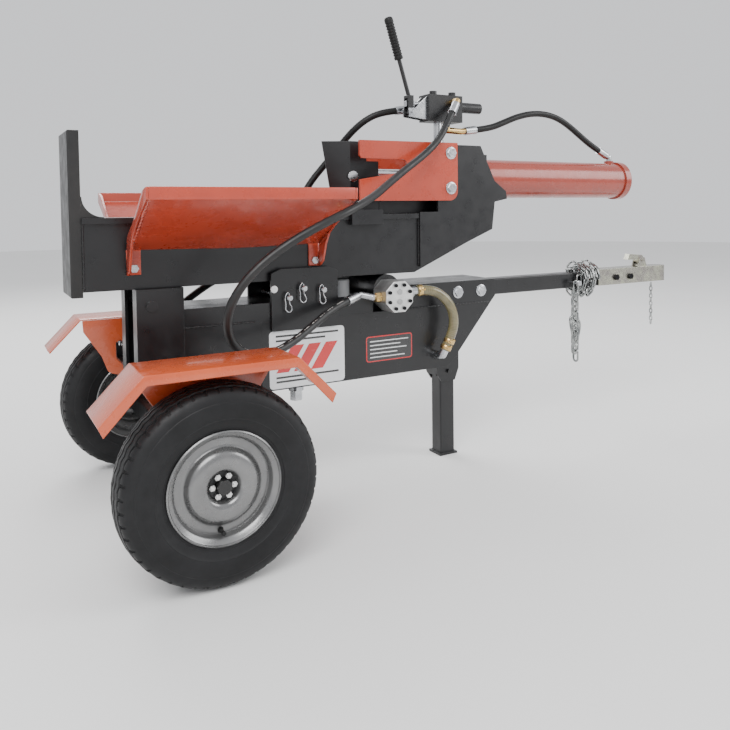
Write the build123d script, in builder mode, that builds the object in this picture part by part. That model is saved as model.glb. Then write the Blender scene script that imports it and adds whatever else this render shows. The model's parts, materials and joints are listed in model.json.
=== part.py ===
from build123d import *
from math import atan, cos, pi, radians, sin, tan
import os

# Towable hydraulic log splitter. Millimetres, +Z up, +X from the foot plate towards the hitch.
# The origin is on the ground, midway between the two ends. Places along X are stated from the
# axle and turned into the part's frame by along().

# ---- Running gear -----------------------------------------------------------------------------
tyre_diameter = 406.0
tyre_width = 120.0
tyre_wall = 9.0
bead_radius = 101.6
rim_flange_radius = 115.0
rim_width = 96.0
rim_wall = 4.0
half_track = 414.0
axle_side = 50.0
axle_wall = 5.0
spindle_radius = 12.5
hub_radius = 34.0
hub_length = 78.0
wheel_fit = 0.05
stud_circle = 22.0
stud_radius = 4.0
stud_count = 6
nut_radius = 6.5
hub_cap_radius = 14.5
hub_disc_radius = 46.0
hub_face = 22.0
rim_disc = 5.0
fender_top = 446.0
fender_inner = 342.0
fender_width = 140.0
fender_half_flat = 152.0
fender_half_length = 232.0
fender_drop = 84.0
fender_sheet = 3.0
fender_lip = 19.0

# ---- Reservoir, posts and tongue --------------------------------------------------------------
frame_half_width = 85.0
tank_back = 214.0
tank_bottom = 284.0
tank_top = 463.0
tank_sheet = 4.0
tank_toe = 778.0
tank_slant_foot = (796.0, 295.0)
tank_slant_head = (940.0, 463.0)
rail_height = 48.0
rail_sheet = 6.0
rail_front = 535.0
deck_front = 430.0
post_back = -79.0
post_width = 100.0
post_flange = 35.0
post_plate = 8.0
box_back = 640.0
box_front = 956.0
box_top = 531.0
box_plate = 8.0
tongue_side = 50.0
tongue_wall = 4.0
tongue_middle = 499.0
tongue_back = 670.0
tongue_front = 1640.0
tongue_bolts = (819.0, 903.0)
filter_place = 475.0
filter_head_height = 27.0
filter_radius = 28.0
filter_height = 62.0
filler_place = 456.0
filler_side = 56.0
leg_place = 819.0
leg_side = 50.0
leg_wall = 4.0
leg_pivot_height = 255.0
leg_top = 272.0
leg_foot = 62.0
leg_plate = 6.0

# ---- Hitch ------------------------------------------------------------------------------------
front_reach = 1797.0
coupler_back = 1447.0
coupler_sheet = 5.0
ball_radius = 25.4
socket_wall = 7.0
coupler_holes = (1530.0, 1600.0)
latch_place = 1680.0
chain_places = (1325.0, 1405.0)
chain_links = 8
chain_pitch = 33.0
chain_link_length = 46.0
chain_link_width = 27.0
chain_wire = 6.5
hook_length = 96.0
hook_width = 40.0
chain_gap = 7.0

# ---- Beam -------------------------------------------------------------------------------------
foot_reach = 222.0
foot_thick = 25.0
foot_top = 928.0
foot_bottom = 553.0
beam_bottom = 565.0
beam_height = 167.0
beam_width = 150.0
beam_wall = 10.0
beam_front = 947.0
way_overhang = 8.0
way_thick = 14.0
way_front = 688.0
tail_start = 676.0
tail_rise = 117.0
tail_plate = 8.0
saddle_back = 240.0
saddle_front = 425.0
saddle_top = 596.0
saddle_plate = 8.0
pin_radius = 8.0
saddle_pin_places = ((323.0, 544.0), (378.0, 537.0))
lock_pin_place = (283.0, 522.0)

# ---- Log cradles ------------------------------------------------------------------------------
cradle_back = -98.0
cradle_front = 375.0
cradle_reach = 303.0
cradle_top = 798.0
cradle_lip = 28.0
cradle_foot = 656.0
cradle_sheet = 4.0
cradle_gap = 1.0
rib_thick = 6.0
rib_tip = 598.0

# ---- Ram --------------------------------------------------------------------------------------
ram_axis = 836.0
barrel_radius = 60.0
bore_radius = 50.8
barrel_back = 750.0
barrel_front = 1570.0
gland_length = 40.0
cap_length = 25.0
rod_radius = 25.0
running_fit = 0.05
piston_length = 30.0
piston_out = 865.0
stroke = 610.0
rod_start = 482.0
rod_port = 809.0
cap_port = 1525.0
wedge_tip_top = 427.0
wedge_tip_foot = 460.0
wedge_back = 545.0
wedge_top = 933.0
wedge_half = 38.0
slide_back = 470.0
slide_front = 565.0
slide_thick = 12.0
slide_clear = 0.4
gib_reach = 95.0
gib_depth = 28.0
wedge_pin_radius = 15.0
wedge_pin_place = 502.0
plate_back = 496.0
plate_front = 816.0
plate_foot = 768.0
plate_top = 932.0
plate_thick = 8.0
slot_end = 645.0
slot_top = 883.0
slot_foot = 826.0
cheek_thick = 10.0
yoke_thick = 20.0
yoke_places = (850.0, 925.0)
apron_back = 588.0
apron_half = 30.0

# ---- Control valve ----------------------------------------------------------------------------
valve_back = 761.0
valve_front = 880.0
valve_half = 28.0
valve_bottom = 1003.0
valve_top = 1082.0
spool_height = 1052.0
spool_radius = 8.0
fulcrum = (708.0, 1028.0)
lever_lean = -17.0
lever_length = 232.0
grip_length = 124.0
grip_radius = 13.0
lever_rod_radius = 6.0
linkage_pin = 3.0

# ---- Pump and engine --------------------------------------------------------------------------
pump_place = 583.0
pump_middle = 508.0
gear_spacing = 30.0
gear_width = 28.0
gear_teeth = 12
gear_outer = 17.2
gear_root = 12.2
pump_face = -150.0
cover_thick = 20.0
pump_back = -78.0
pump_flat = 84.0
engine_face = 88.0
engine_depth = 200.0
crank_to_base = 106.0
engine_half_width = 120.0
shelf_plate = 6.0

# ---- Hoses ------------------------------------------------------------------------------------
hose_radius = 10.0
suction_radius = 14.0
ferrule_radius = 13.0
ferrule_length = 40.0

# ---- Places that follow from the sizes --------------------------------------------------------
rear_reach = max(foot_reach, fender_half_length)
axle_x = (rear_reach - front_reach) / 2
axle_height = tyre_diameter / 2
beam_top = beam_bottom + beam_height
beam_half = beam_width / 2
foot_face = -foot_reach + foot_thick
piston_back = piston_out + stroke
rail_top = tank_top + rail_height
cheek_outer = beam_half + cheek_thick
tail_end = beam_bottom + tail_rise
tail_slope = tail_rise / (beam_front - tail_start)
tail_seat = tail_plate / cos(atan(tail_slope))
slant = (tank_slant_head[1] - tank_slant_foot[1]) / (tank_slant_head[0] - tank_slant_foot[0])
crank_height = pump_middle + gear_spacing / 2
idler_height = pump_middle - gear_spacing / 2
engine_base = crank_height - crank_to_base
tongue_half = tongue_side / 2
slide_top = beam_top + slide_clear + slide_thick

os.makedirs("parts", exist_ok=True)


def along(distance):
    """X in the part's frame of a place this far in front of the axle."""
    return axle_x + distance


def side_plane(y):
    """Plane square to Y; what is extruded from it runs towards -Y."""
    return Plane.XZ.offset(-y)


def outline(points):
    """Sketch points (distance from axle, height) on the current side plane."""
    Polygon(*[(along(x), z) for x, z in points], align=None)


def plate(points, y_low, y_high, mode=Mode.ADD):
    """Upright plate with a side outline, from y_low to y_high."""
    with BuildSketch(side_plane(y_high)) as profile:
        outline(points)
    extrude(profile.sketch, amount=y_high - y_low, mode=mode)


def block(x_span, y_span, z_span, mode=Mode.ADD):
    """Box between two corners, with X measured from the axle."""
    size = [high - low for low, high in (x_span, y_span, z_span)]
    middle = [(low + high) / 2 for low, high in (x_span, y_span, z_span)]
    with Locations((along(middle[0]), middle[1], middle[2])):
        Box(*size, mode=mode)


def bar_y(place, y_low, y_high, radius, mode=Mode.ADD):
    """Round bar across the machine at (distance from axle, height)."""
    with BuildSketch(side_plane(y_high)) as profile:
        with Locations((along(place[0]), place[1])):
            Circle(radius)
    extrude(profile.sketch, amount=y_high - y_low, mode=mode)


def bar_x(y, z, x_low, x_high, radius, mode=Mode.ADD):
    """Round bar along the machine."""
    with BuildSketch(Plane.YZ.offset(along(x_low))) as profile:
        with Locations((y, z)):
            Circle(radius)
    extrude(profile.sketch, amount=x_high - x_low, mode=mode)


def bar_z(x, y, z_low, z_high, radius, mode=Mode.ADD):
    """Upright round bar."""
    with BuildSketch(Plane.XY.offset(z_low)) as profile:
        with Locations((along(x), y)):
            Circle(radius)
    extrude(profile.sketch, amount=z_high - z_low, mode=mode)


def hex_y(place, y_low, y_high, radius):
    """Hexagon bar across the machine, for bolt heads and nuts."""
    with BuildSketch(side_plane(y_high)) as profile:
        with Locations((along(place[0]), place[1])):
            RegularPolygon(radius, 6)
    extrude(profile.sketch, amount=y_high - y_low)


def tube_x(y, z, x_low, x_high, side, wall):
    """Square tube along the machine."""
    with BuildSketch(Plane.YZ.offset(along(x_low))) as profile:
        with Locations((y, z)):
            RectangleRounded(side, side, wall)
            Rectangle(side - 2 * wall, side - 2 * wall, mode=Mode.SUBTRACT)
    extrude(profile.sketch, amount=x_high - x_low)


def rod(start, end, radius, mode=Mode.ADD):
    """Round bar between two places (distance from axle, Y, height)."""
    base = Vector(along(start[0]), start[1], start[2])
    line = Vector(along(end[0]), end[1], end[2]) - base
    with BuildSketch(Plane(origin=base, z_dir=line)) as profile:
        Circle(radius)
    extrude(profile.sketch, amount=line.length, mode=mode)


def elbow(places, radius):
    """Pipe fitting of straight bars with a ball at each corner."""
    for start, end in zip(places, places[1:]):
        rod(start, end, radius)
    for x, y, z in places[1:-1]:
        with Locations((along(x), y, z)):
            Sphere(radius)


def hose_end(route, length, last=False):
    """Place this far back from the route's first point, or beyond its last one, in line with it."""
    tip, inner = (route[-1], route[-2]) if last else (route[0], route[1])
    outwards = (Vector(*tip) - Vector(*inner)).normalized()
    return tuple(Vector(*tip) + outwards * length)


def save(name, *pieces):
    """Label a finished node and write it; several pieces stay separate solids."""
    node = pieces[0] if len(pieces) == 1 else Compound(children=list(pieces))
    node.label = name
    export_step(node, f"parts/{name}.step")


def route_radii(points):
    """Arc radius at each corner of a hose's route: 0.45 of the shorter run over tan(half turn)."""
    vectors = [Vector(*p) for p in points]
    radii = []
    for before, corner, after in zip(vectors, vectors[1:], vectors[2:]):
        run_in = corner - before
        run_out = after - corner
        half_turn = radians(run_in.get_angle(run_out)) / 2
        radii.append(0.45 * min(run_in.length, run_out.length) / tan(half_turn))
    return radii


def hose(points, radius, name):
    """Hose of straight runs joined by tangent arcs, with its route's radii and length printed."""
    route = [(along(x), y, z) for x, y, z in points]
    radii = route_radii(route)
    with BuildPart() as tube:
        with BuildLine() as path:
            FilletPolyline(*route, radius=radii)
        start = Vector(*route[1]) - Vector(*route[0])
        with BuildSketch(Plane(origin=route[0], z_dir=start)):
            Circle(radius)
        sweep()
    length = sum(edge.length for edge in path.line.edges())
    share = tube.part.volume / (pi * radius**2 * length)
    print(name, "radii", [round(r) for r in radii], "length", round(length), "volume share", round(share, 4))
    save(name, tube.part)


def tyre_section(middle, inset, mode=Mode.ADD):
    """Sketch half a tyre's section above the axle; an inset draws the air space inside it."""
    crown = axle_height + tyre_diameter / 2 - inset
    bead = axle_height + bead_radius + rim_wall / 2
    half = tyre_width / 2 - inset
    seat = rim_width / 2 - rim_wall - 7 - inset
    foot = bead + 0.2 if inset == 0 else bead - 1
    shoulder = (axle_height + rim_flange_radius + 2, seat + 5)
    side_height = (bead + crown) / 2
    with BuildLine() as section:
        Line((middle - seat, foot), (middle - shoulder[1], shoulder[0]))
        Spline(
            (middle - shoulder[1], shoulder[0]), (middle - half, side_height),
            (middle - half + 18, crown - 8), (middle, crown), (middle + half - 18, crown - 8),
            (middle + half, side_height), (middle + shoulder[1], shoulder[0]),
        )
        Line((middle + shoulder[1], shoulder[0]), (middle + seat, foot))
        Line((middle + seat, foot), (middle - seat, foot))
    make_face(section.edges(), mode=mode)


# ================================ Running gear =================================================
with BuildPart() as axle:
    with BuildSketch(side_plane(half_track - hub_length / 2 - 8)):
        with Locations((along(0), axle_height)):
            RectangleRounded(axle_side, axle_side, axle_wall)
    extrude(amount=2 * (half_track - hub_length / 2 - 8))
    for side in (-1, 1):
        inner = half_track - hub_length / 2 - 8
        outer = half_track + hub_length / 2 + 2
        span = sorted((side * inner, side * outer))
        bar_y((0, axle_height), span[0], span[1], spindle_radius)
save("axle", axle.part)

with BuildPart() as axle_saddles:
    for y in (-54.0, 54.0):
        plate(
            [(-25, axle_height + 25), (25, axle_height + 25), (tank_back, tank_bottom),
             (tank_back, tank_bottom + 40), (-25, tank_bottom + 40)],
            y - 5, y + 5,
        )
    block((-25, tank_back), (-frame_half_width, frame_half_width), (tank_bottom + 40, tank_bottom + 46))

for side, label in ((-1, "near"), (1, "far")):
    middle = side * half_track
    face = middle + side * hub_face
    cap_end = middle + side * (hub_length / 2 + 6)
    stud_spots = [(stud_circle * cos(2 * pi * n / stud_count),
                   axle_height + stud_circle * sin(2 * pi * n / stud_count)) for n in range(stud_count)]
    with BuildPart() as hub:
        bar_y((0, axle_height), *sorted((middle - side * hub_length / 2, face)), hub_radius)
        bar_y((0, axle_height), *sorted((face - side * 8, face)), hub_disc_radius)
        bar_y((0, axle_height), *sorted((face, cap_end)), hub_cap_radius)
        bore = sorted((middle - side * (hub_length / 2 + 1), cap_end - side * 3))
        bar_y((0, axle_height), *bore, spindle_radius + wheel_fit, mode=Mode.SUBTRACT)
        for spot in stud_spots:
            bar_y(spot, *sorted((face, face + side * 16)), stud_radius)
    with BuildPart() as lug_nuts:
        seat = face + side * rim_disc
        for spot in stud_spots:
            hex_y(spot, *sorted((seat, seat + side * 8)), nut_radius)
            bar_y(spot, *sorted((seat - side, seat + side * 9)), stud_radius + 0.02, mode=Mode.SUBTRACT)
    save(f"hub_{label}", hub.part, lug_nuts.part)

    with BuildPart() as rim:
        with BuildSketch(Plane.YZ.offset(along(0))):
            with BuildLine():
                half = rim_width / 2
                Polyline(
                    (middle - half, axle_height + rim_flange_radius),
                    (middle - half + 9, axle_height + bead_radius),
                    (middle - 24, axle_height + bead_radius - 4),
                    (middle - 16, axle_height + bead_radius - 22),
                    (middle + 16, axle_height + bead_radius - 22),
                    (middle + 24, axle_height + bead_radius - 4),
                    (middle + half - 9, axle_height + bead_radius),
                    (middle + half, axle_height + rim_flange_radius),
                )
                offset(amount=rim_wall / 2, side=Side.BOTH)
            make_face()
        revolve(axis=Axis((along(0), 0, axle_height), (0, 1, 0)))
        disc = sorted((face, face + side * rim_disc))
        bar_y((0, axle_height), *disc, bead_radius - 4 - rim_wall / 4)
        bar_y((0, axle_height), disc[0] - 1, disc[1] + 1, hub_cap_radius + 0.3, mode=Mode.SUBTRACT)
        for spot in stud_spots:
            bar_y(spot, disc[0] - 1, disc[1] + 1, stud_radius + 0.3, mode=Mode.SUBTRACT)
    save(f"rim_{label}", rim.part)

    with BuildPart() as tyre:
        with BuildSketch(Plane.YZ.offset(along(0))):
            tyre_section(middle, 0)
            tyre_section(middle, tyre_wall, mode=Mode.SUBTRACT)
        revolve(axis=Axis((along(0), 0, axle_height), (0, 1, 0)))
    save(f"tyre_{label}", tyre.part)

    with BuildPart() as fender:
        inner = fender_inner
        outer = fender_inner + fender_width
        low, high = sorted((side * inner, side * outer))
        top = [(-fender_half_length, fender_top - fender_drop), (-fender_half_flat, fender_top),
               (fender_half_flat, fender_top), (fender_half_length, fender_top - fender_drop)]
        under = [(x * (1 - fender_sheet / 300), z - fender_sheet) for x, z in top]
        plate(top + under[::-1], low, high)
        lip_low, lip_high = sorted((side * (outer - fender_sheet), side * outer))
        lip_under = [(x * 0.95, z - fender_lip) for x, z in top]
        plate(top + lip_under[::-1], lip_low, lip_high)
        web_low, web_high = sorted((side * inner, side * (inner + fender_sheet)))
        plate([(-fender_half_flat, fender_top - 1), (fender_half_flat, fender_top - 1),
               (fender_half_flat - 4, fender_top - 44), (86, 286), (-86, 286),
               (-fender_half_flat + 4, fender_top - 44)], web_low, web_high)
    save(f"fender_{label}", fender.part)

with BuildPart() as fender_arms:
    for side in (-1, 1):
        for x in (-62.0, 38.0):
            low, high = sorted((side * frame_half_width, side * (fender_inner - 0.2)))
            block((x, x + 24), (low, high), (tank_bottom + 46, tank_bottom + 52))
            low, high = sorted((side * (fender_inner - 6.2), side * (fender_inner - 0.2)))
            block((x, x + 24), (low, high), (tank_bottom + 46, tank_bottom + 92))

# ================================ Reservoir and frame ==========================================
tank_outline = [(tank_back, tank_bottom), (tank_toe, tank_bottom), tank_slant_foot, tank_slant_head,
                (tank_back, tank_top)]
with BuildPart() as reservoir:
    plate(tank_outline, -frame_half_width, frame_half_width)
    inner = tank_sheet
    plate(
        [(tank_back + inner, tank_bottom + inner), (tank_toe - inner, tank_bottom + inner),
         (tank_slant_foot[0] - inner - 2, tank_slant_foot[1] + inner),
         (tank_slant_head[0] - 3 * inner, tank_top - inner), (tank_back + inner, tank_top - inner)],
        -frame_half_width + inner, frame_half_width - inner, mode=Mode.SUBTRACT,
    )

with BuildPart() as frame_rails:
    for side in (-1, 1):
        low, high = sorted((side * (frame_half_width - rail_sheet), side * frame_half_width))
        plate([(post_back, tank_bottom + 46), (tank_back, tank_bottom + 46), (tank_back, tank_top),
               (rail_front, tank_top), (rail_front, rail_top), (post_back, rail_top)], low, high)
    inner = frame_half_width - rail_sheet
    block((post_back + post_width, deck_front), (-inner, inner), (rail_top - rail_sheet, rail_top))
save("frame_rails", frame_rails.part)

with BuildPart() as rear_posts:
    for side in (-1, 1):
        low, high = sorted((side * frame_half_width, side * (frame_half_width + post_plate)))
        plate([(post_back, tank_bottom + 60), (post_back + post_width, tank_bottom + 60),
               (post_back + post_width, beam_bottom - 3), (post_back, beam_bottom - 3)], low, high)
        low, high = sorted((side * (frame_half_width - post_flange), side * (frame_half_width + post_plate)))
        block((post_back - post_plate, post_back), (low, high), (tank_bottom + 60, beam_bottom - 3))
    block((post_back - post_plate, post_back + post_width),
          (-frame_half_width - post_plate, frame_half_width + post_plate), (beam_bottom - 3, beam_bottom))
    bar_y((post_back + 26, rail_top + 14), -frame_half_width - post_plate - 6,
          frame_half_width + post_plate + 6, 13)
save("rear_posts", rear_posts.part)

with BuildPart() as tongue_box:
    for side in (-1, 1):
        low, high = sorted((side * (frame_half_width - box_plate), side * frame_half_width))
        plate([(box_back, tank_top), tank_slant_head, (box_front, tank_top + 18), (box_front, box_top),
               (box_back, box_top)], low, high)
    inner = frame_half_width - box_plate
    block((box_back, box_front), (-inner, inner), (tongue_middle + tongue_half, box_top))
    block((box_back, tank_slant_head[0] - 6), (-inner, inner), (tank_top, tongue_middle - tongue_half))
    for x in tongue_bolts:
        bar_y((x, tongue_middle), -inner, -tongue_half, 14)
        bar_y((x, tongue_middle), tongue_half, inner, 14)
    for x in tongue_bolts:
        bar_y((x, tongue_middle), -frame_half_width - 1, frame_half_width + 1, 8.2, mode=Mode.SUBTRACT)
save("tongue_box", tongue_box.part)

with BuildPart() as tongue:
    tube_x(0, tongue_middle, tongue_back, tongue_front, tongue_side, tongue_wall)
    for x in tongue_bolts:
        bar_y((x, tongue_middle), -tongue_half - 1, tongue_half + 1, 8.2, mode=Mode.SUBTRACT)
    for x in coupler_holes:
        bar_y((x, tongue_middle), -tongue_half - 1, tongue_half + 1, 6.6, mode=Mode.SUBTRACT)
save("tongue", tongue.part)

with BuildPart() as leg_cheeks:
    top_at = tank_slant_foot[1] + slant * (leg_place + 38 - tank_slant_foot[0])
    for side in (-1, 1):
        low, high = sorted((side * (leg_side / 2 + 0.5), side * (leg_side / 2 + 6.5)))
        plate([(leg_place - 39, tank_bottom), (tank_toe, tank_bottom), tank_slant_foot,
               (leg_place + 38, top_at), (leg_place + 38, 262), (leg_place + 24, 226),
               (leg_place - 24, 226), (leg_place - 39, 250)], low, high)
    block((leg_place - 39, leg_place - 33), (-leg_side / 2 - 0.5, leg_side / 2 + 0.5), (244, tank_bottom))
    bar_y((leg_place, leg_pivot_height), -leg_side / 2 - 14, leg_side / 2 + 14, 6)

with BuildPart() as leg:
    with BuildSketch(Plane.XY.offset(leg_plate)):
        with Locations((along(leg_place), 0)):
            RectangleRounded(leg_side, leg_side, leg_wall)
            Rectangle(leg_side - 2 * leg_wall, leg_side - 2 * leg_wall, mode=Mode.SUBTRACT)
    extrude(amount=leg_top - leg_plate)
    half = leg_foot / 2
    block((leg_place - half, leg_place + half), (-half, half), (0, leg_plate))
    bar_y((leg_place, leg_pivot_height), -half, half, 6.05, mode=Mode.SUBTRACT)
save("stand_leg", leg.part)

with BuildPart() as drain_plug:
    bar_z(320, -50, tank_bottom - 14, tank_bottom, 20)
    with BuildSketch(Plane.XY.offset(tank_bottom - 40)):
        with Locations((along(320), -50)):
            RegularPolygon(17, 6)
    extrude(amount=26)

with BuildPart() as filter_head:
    head_top = tank_top + filter_head_height
    block((filter_place - 30, filter_place + 30), (-32, 32), (tank_top, head_top))
    bar_z(filter_place, 0, head_top, head_top + 12, 10)

with BuildPart() as return_filter:
    bar_z(filter_place, 0, head_top, head_top + filter_height, filter_radius)
    fillet(return_filter.edges().group_by(Axis.Z)[-1], 6)
    bar_z(filter_place, 0, head_top - 1, head_top + 13, 10.05, mode=Mode.SUBTRACT)
save("return_filter", filter_head.part, return_filter.part)

with BuildPart() as filler_neck:
    bar_z(filler_place, filler_side, tank_top, tank_top + 26, 16)
    bar_z(filler_place, filler_side, tank_top - 1, tank_top + 27, 12, mode=Mode.SUBTRACT)
save("reservoir", reservoir.part, filler_neck.part)

with BuildPart() as filler_cap:
    bar_z(filler_place, filler_side, tank_top + 12, tank_top + 40, 22)
    bar_z(filler_place, filler_side, tank_top + 11, tank_top + 26.2, 16.05, mode=Mode.SUBTRACT)
save("filler_cap", filler_cap.part)

# ================================ Hitch ========================================================
channel_inner = tongue_half + 0.3
channel_outer = channel_inner + coupler_sheet
channel_foot = tongue_middle - tongue_half
channel_roof = tongue_middle + tongue_half + 0.3
channel_top = channel_roof + coupler_sheet
ball_place = front_reach - ball_radius - socket_wall
coupler_neck = ball_place - ball_radius - socket_wall - 18
with BuildPart() as coupler:
    for side in (-1, 1):
        low, high = sorted((side * channel_inner, side * channel_outer))
        block((coupler_back, coupler_neck), (low, high), (channel_foot, channel_top))
    block((coupler_back, coupler_neck), (-channel_inner, channel_inner), (channel_roof, channel_top))
    block((tongue_front + 6, coupler_neck), (-channel_inner, channel_inner), (channel_roof - 8, channel_roof))
    with BuildSketch(Plane.XY.offset(channel_foot)):
        with Locations((along(ball_place), 0)):
            Circle(ball_radius + socket_wall)
        with Locations((along((coupler_neck + ball_place) / 2), 0)):
            Rectangle(ball_place - coupler_neck, 2 * channel_outer)
    extrude(amount=channel_top - channel_foot)
    bar_z(ball_place, 0, channel_foot - 1, channel_foot + 20, ball_radius + 0.4, mode=Mode.SUBTRACT)
    with Locations((along(ball_place), 0, channel_foot + 20)):
        Sphere(ball_radius + 0.4, mode=Mode.SUBTRACT)
    for x in coupler_holes:
        bar_y((x, tongue_middle), -channel_outer - 1, channel_outer + 1, 6.6, mode=Mode.SUBTRACT)

latch_axis = (latch_place, channel_top + 22)
with BuildPart() as latch_ears:
    for side in (-1, 1):
        low, high = sorted((side * 11.5, side * 15.5))
        plate([(latch_place - 22, channel_top), (latch_place + 22, channel_top),
               (latch_place + 12, latch_axis[1] + 10), (latch_place - 12, latch_axis[1] + 10)], low, high)
    bar_y(latch_axis, -19, 19, 4)
save("coupler", coupler.part, latch_ears.part)

with BuildPart() as coupler_latch:
    x, z = latch_axis
    plate([(x - 70, z + 4), (x - 60, z + 24), (x + 4, z + 18), (x + 15, z + 4), (x + 12, z - 12),
           (x - 10, z - 14), (x - 20, z + 2)], -11, 11)
    bar_y(latch_axis, -12, 12, 4.05, mode=Mode.SUBTRACT)
save("coupler_latch", coupler_latch.part)

chain_pin_height = tongue_middle - 6
first_link = chain_pin_height + 3.3 + chain_wire - chain_link_length / 2
for side, place, label in zip((-1, 1), chain_places, ("near", "far")):
    y = side * (tongue_half + chain_link_width / 2 + chain_gap)
    with BuildPart() as chain:
        for n in range(chain_links):
            flat = n % 2 == 0
            link = Plane(origin=(along(place), y, first_link - n * chain_pitch),
                         z_dir=(0, 1, 0) if flat else (1, 0, 0), x_dir=(0, 0, 1))
            with BuildSketch(link):
                SlotOverall(chain_link_length, chain_link_width)
                SlotOverall(chain_link_length - 2 * chain_wire, chain_link_width - 2 * chain_wire,
                            mode=Mode.SUBTRACT)
            extrude(amount=chain_wire / 2, both=True)
        hook_middle = first_link - 5 * chain_pitch
        with BuildSketch(Plane(origin=(along(place), y, hook_middle), z_dir=(1, 0, 0), x_dir=(0, 0, 1))):
            SlotOverall(hook_length, hook_width)
            SlotOverall(hook_length - 14, hook_width - 14, mode=Mode.SUBTRACT)
            Rectangle(7, hook_width - 6)
        extrude(amount=3.5, both=True)
    save(f"safety_chain_{label}", chain.part)

with BuildPart() as chain_bolts:
    for side, place in zip((-1, 1), chain_places):
        low, high = sorted((side * tongue_half, side * (tongue_half + chain_link_width + chain_gap + 6)))
        bar_y((place, chain_pin_height), low, high, 3)
        head = tongue_half + chain_link_width + chain_gap + 1
        low, high = sorted((side * head, side * (head + 6)))
        bar_y((place, chain_pin_height), low, high, 8)

# ================================ Beam and what is welded to it ================================
with BuildPart() as beam:
    with BuildSketch(Plane.YZ.offset(along(foot_face))):
        with Locations((0, (beam_bottom + beam_top) / 2)):
            Rectangle(beam_width, beam_height)
            Rectangle(beam_width - 2 * beam_wall, beam_height - 2 * way_thick, mode=Mode.SUBTRACT)
    extrude(amount=beam_front - foot_face)
    block((foot_face, way_front), (-beam_half - way_overhang, beam_half + way_overhang),
          (beam_top - way_thick, beam_top))
    plate([(tail_start - tail_seat / tail_slope, beam_bottom), (beam_front, tail_end + tail_seat),
           (beam_front, beam_bottom)], -beam_half, beam_half, mode=Mode.SUBTRACT)

with BuildPart() as foot_plate:
    block((-foot_reach, foot_face), (-beam_half, beam_half), (foot_bottom, foot_top))
    fillet(foot_plate.faces().sort_by(Axis.X)[0].edges(), 3)

gusset_size = 48.0
with BuildPart() as foot_gussets:
    for side in (-1, 1):
        low, high = sorted((side * (beam_half - 14), side * beam_half))
        block((foot_face, foot_face + gusset_size), (low, high), (beam_top, beam_top + gusset_size))
        bar_y((foot_face + gusset_size, beam_top + gusset_size), low, high, gusset_size - 2,
              mode=Mode.SUBTRACT)
save("foot_plate", foot_plate.part, foot_gussets.part)

cradle_inner = beam_half + way_overhang + cradle_gap + 3
lip_foot = cradle_top - cradle_lip
for side, label in ((-1, "near"), (1, "far")):
    with BuildPart() as cradle:
        with BuildSketch(Plane.YZ.offset(along(cradle_back))):
            Polygon(
                (side * cradle_inner, cradle_foot), (side * cradle_reach, lip_foot),
                (side * cradle_reach, cradle_top), (side * (cradle_reach - cradle_sheet), cradle_top),
                (side * (cradle_reach - cradle_sheet), lip_foot + cradle_sheet * 0.6),
                (side * cradle_inner, cradle_foot + cradle_sheet * 1.1), align=None,
            )
        extrude(amount=cradle_front - cradle_back)
        rib = [(cradle_inner, rib_tip + 12), (cradle_inner + 20, rib_tip + 12), (cradle_inner + 40, rib_tip + 50),
               (cradle_inner + 92, rib_tip + 100), (cradle_reach, lip_foot), (cradle_reach, cradle_top),
               (cradle_inner + 110, cradle_foot + 86), (cradle_inner + 36, cradle_foot + 46),
               (cradle_inner, cradle_foot + 28)]
        for x in (cradle_back - rib_thick, cradle_front):
            with BuildSketch(Plane.YZ.offset(along(x))):
                Polygon(*[(side * y, z) for y, z in rib], align=None)
            extrude(amount=rib_thick)
            low, high = sorted((side * beam_half, side * cradle_inner))
            block((x, x + rib_thick), (low, high), (rib_tip, beam_top - gib_depth - 4))
        for x in (cradle_back - rib_thick, cradle_front - 26):
            low, high = sorted((side * beam_half, side * (beam_half + 6)))
            block((x, x + 26 + rib_thick), (low, high), (rib_tip, rib_tip + 60))
            bar_y((x + 16, rib_tip + 16), low - 1, high + 1, 6.2, mode=Mode.SUBTRACT)
    save(f"log_cradle_{label}", cradle.part)

with BuildPart() as cradle_bolts:
    for side in (-1, 1):
        for x in (cradle_back - rib_thick, cradle_front - 26):
            low, high = sorted((side * beam_half, side * (beam_half + 6)))
            bar_y((x + 16, rib_tip + 16), low, high, 6)
            low, high = sorted((side * (beam_half + 6), side * (beam_half + 13)))
            hex_y((x + 16, rib_tip + 16), low, high, 10)

saddle_outer = frame_half_width + saddle_plate
with BuildPart() as saddle:
    for side in (-1, 1):
        low, high = sorted((side * frame_half_width, side * saddle_outer))
        plate([(saddle_back, tank_top - 24), (saddle_front, tank_top - 24), (saddle_front, beam_bottom + 20),
               (saddle_front - 26, saddle_top), (saddle_back + 26, saddle_top),
               (saddle_back, beam_bottom + 20)], low, high)
        low, high = sorted((side * beam_half, side * frame_half_width))
        block((saddle_back + 32, saddle_front - 32), (low, high), (beam_bottom + 6, rib_tip - 3))
    for x, z in (*saddle_pin_places, lock_pin_place):
        bar_y((x, z), -saddle_outer - 1, saddle_outer + 1, pin_radius + 0.2, mode=Mode.SUBTRACT)
save("beam_saddle", saddle.part)

lug_half = 58.0
with BuildPart() as beam_lug:
    middle = (saddle_pin_places[0][0] + saddle_pin_places[1][0]) / 2
    block((middle - 56, middle + 56), (-lug_half, lug_half), (rail_top + 1, beam_bottom))
    for x, z in saddle_pin_places:
        bar_y((x, z), -lug_half - 1, lug_half + 1, pin_radius + 0.2, mode=Mode.SUBTRACT)
save("beam", beam.part, beam_lug.part)

with BuildPart() as saddle_pins:
    for x, z in (*saddle_pin_places, lock_pin_place):
        bar_y((x, z), -saddle_outer - 22, saddle_outer + 1, pin_radius)
        bar_y((x, z), saddle_outer + 1, saddle_outer + 7, pin_radius + 5)

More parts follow.
